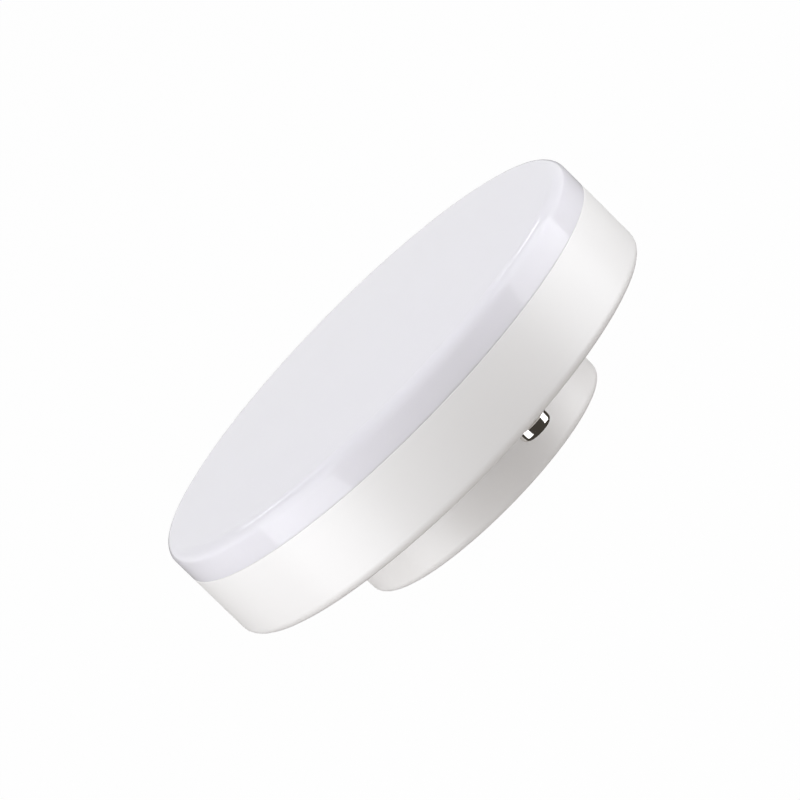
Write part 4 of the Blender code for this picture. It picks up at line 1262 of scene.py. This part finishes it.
def buildStudio():
    studio = {
        "sky": 0.049,
        "skyColour": (1.0, 1.0, 1.0),
        "low": 0.505,
        "lowColour": (1.0, 0.91, 0.86),
        "boxColour": (0.95, 0.97, 1.0),
        "floorHalf": 3.0,
        "floorColour": (0.55, 0.54, 0.53),
        "floorWhite": 0.985,  # how much of the floor's shadow is lost in its white
        "darkGlow": 0.07,
        "darkColour": (1.0, 0.9, 0.78),
        "cardHalf": 0.75,
        "cardPlace": (12, -40, 1.15),  # turn, elevation and distance from the lamp
        "pitRadius": 1.3,
        "pitDepth": 0.8,
    }
    boxes = {
        "leftHigh": {"turn": -65, "tilt": 22, "away": 0.75, "size": (0.59, 0.58), "radiance": 1.92},
        "leftLow": {"turn": -63.5, "tilt": -17, "away": 0.75, "size": (0.59, 0.45), "radiance": 2.94},
        "rightHigh": {"turn": 87.5, "tilt": 22, "away": 0.75, "size": (0.62, 0.58), "radiance": 2.24},
        "rightLow": {"turn": 86.5, "tilt": -17, "away": 0.75, "size": (0.62, 0.45), "radiance": 2.71},
        "backLeft": {"turn": -133, "tilt": 56, "away": 0.8, "size": (0.1, 0.38), "radiance": 6.2},
        "backRight": {"turn": 138, "tilt": 47, "away": 0.8, "size": (0.09, 0.28), "radiance": 6.2},
        "frontBox": {"turn": 5, "tilt": 52, "away": 0.9, "size": (0.6, 0.45), "radiance": 3.04},
    }
    for name, box in boxes.items():
        lit = softBox(name, box, studio["boxColour"])
        lit.visible_glossy = name != "frontBox"  # it would draw a thin line along the rim's edge

    def floorSurface(shader):
        paint = shader.node("ShaderNodeBsdfDiffuse", None, {"Color": studio["floorColour"]})
        return shader.seenWhite(paint, "ShaderNodeEmission", studio["floorWhite"])

    def darkSurface(shader):
        sockets = {"Color": studio["darkColour"], "Strength": studio["darkGlow"]}
        return shader.node("ShaderNodeEmission", None, sockets)

    def flatSheet(half):
        bm = bmesh.new()
        bmesh.ops.create_grid(bm, x_segments=1, y_segments=1, size=half)
        return bm

    # The low boxes shine through the floor
    unseenBy = ("diffuse", "glossy", "shadow")
    floor = stagePiece("studioFloor", flatSheet(studio["floorHalf"]), floorSurface, unseenBy)
    scene.collection.objects.link(floor)

    # A dark card behind the camera, and a dark pit that only gloss sees under the floor
    card = stagePiece("darkCard", flatSheet(studio["cardHalf"]), darkSurface, ("camera",))
    aimed(card, fromLamp(*studio["cardPlace"]))
    radius, depth = studio["pitRadius"], studio["pitDepth"]
    bm = bmesh.new()
    cone(bm, radius, radius, depth, (0, 0, -depth / 2), 64)
    lid = [face for face in bm.faces if face.calc_center_median().z > -depth / 4]
    bmesh.ops.delete(bm, geom=lid, context="FACES")
    unseenBy = ("camera", "diffuse", "shadow", "transmission", "volume_scatter")
    pit = stagePiece("darkPit", bm, darkSurface, unseenBy)
    scene.collection.objects.link(pit)

    # The world is darker overhead than round the horizon
    scene.world = bpy.data.worlds.new("softWorld")
    shader = Shader(scene.world)
    direction = shader.node("ShaderNodeTexCoord", output="Generated")
    up = shader.node("ShaderNodeSeparateXYZ", None, {0: direction}, "Z").calc("MAXIMUM", 0.0)
    low = tuple(studio["low"] * value for value in studio["lowColour"])
    sky = tuple(studio["sky"] * value for value in studio["skyColour"])
    fill = shader.node("ShaderNodeBackground", None, {"Color": shader.mix(up, low, sky), "Strength": 1.0})
    shader.show(shader.seenWhite(fill, "ShaderNodeBackground", 1.0))


def buildCamera():
    camera = bpy.data.objects.new("photoCamera", bpy.data.cameras.new("photoCamera"))
    lens = camera.data
    lens.sensor_width = 36
    lens.lens = lens.sensor_width * view["scale"] * view["distance"] / view["frame"]
    lens.clip_start = 0.05
    lens.clip_end = 20
    aimed(camera, fromLamp(0, view["elevation"], view["distance"]))
    turn = camera.rotation_quaternion.to_matrix() @ Matrix.Rotation(math.radians(view["roll"]), 3, "Z")
    camera.rotation_quaternion = turn.to_quaternion()
    half = view["frame"] / 2
    aside = (half - view["middle"][0]) / view["scale"]
    above = (view["middle"][1] - half) / view["scale"]
    camera.location += turn @ Vector((aside, above, 0))
    scene.camera = camera


buildStudio()
buildCamera()
scene.view_settings.view_transform = "Standard"
print("studio and camera set")
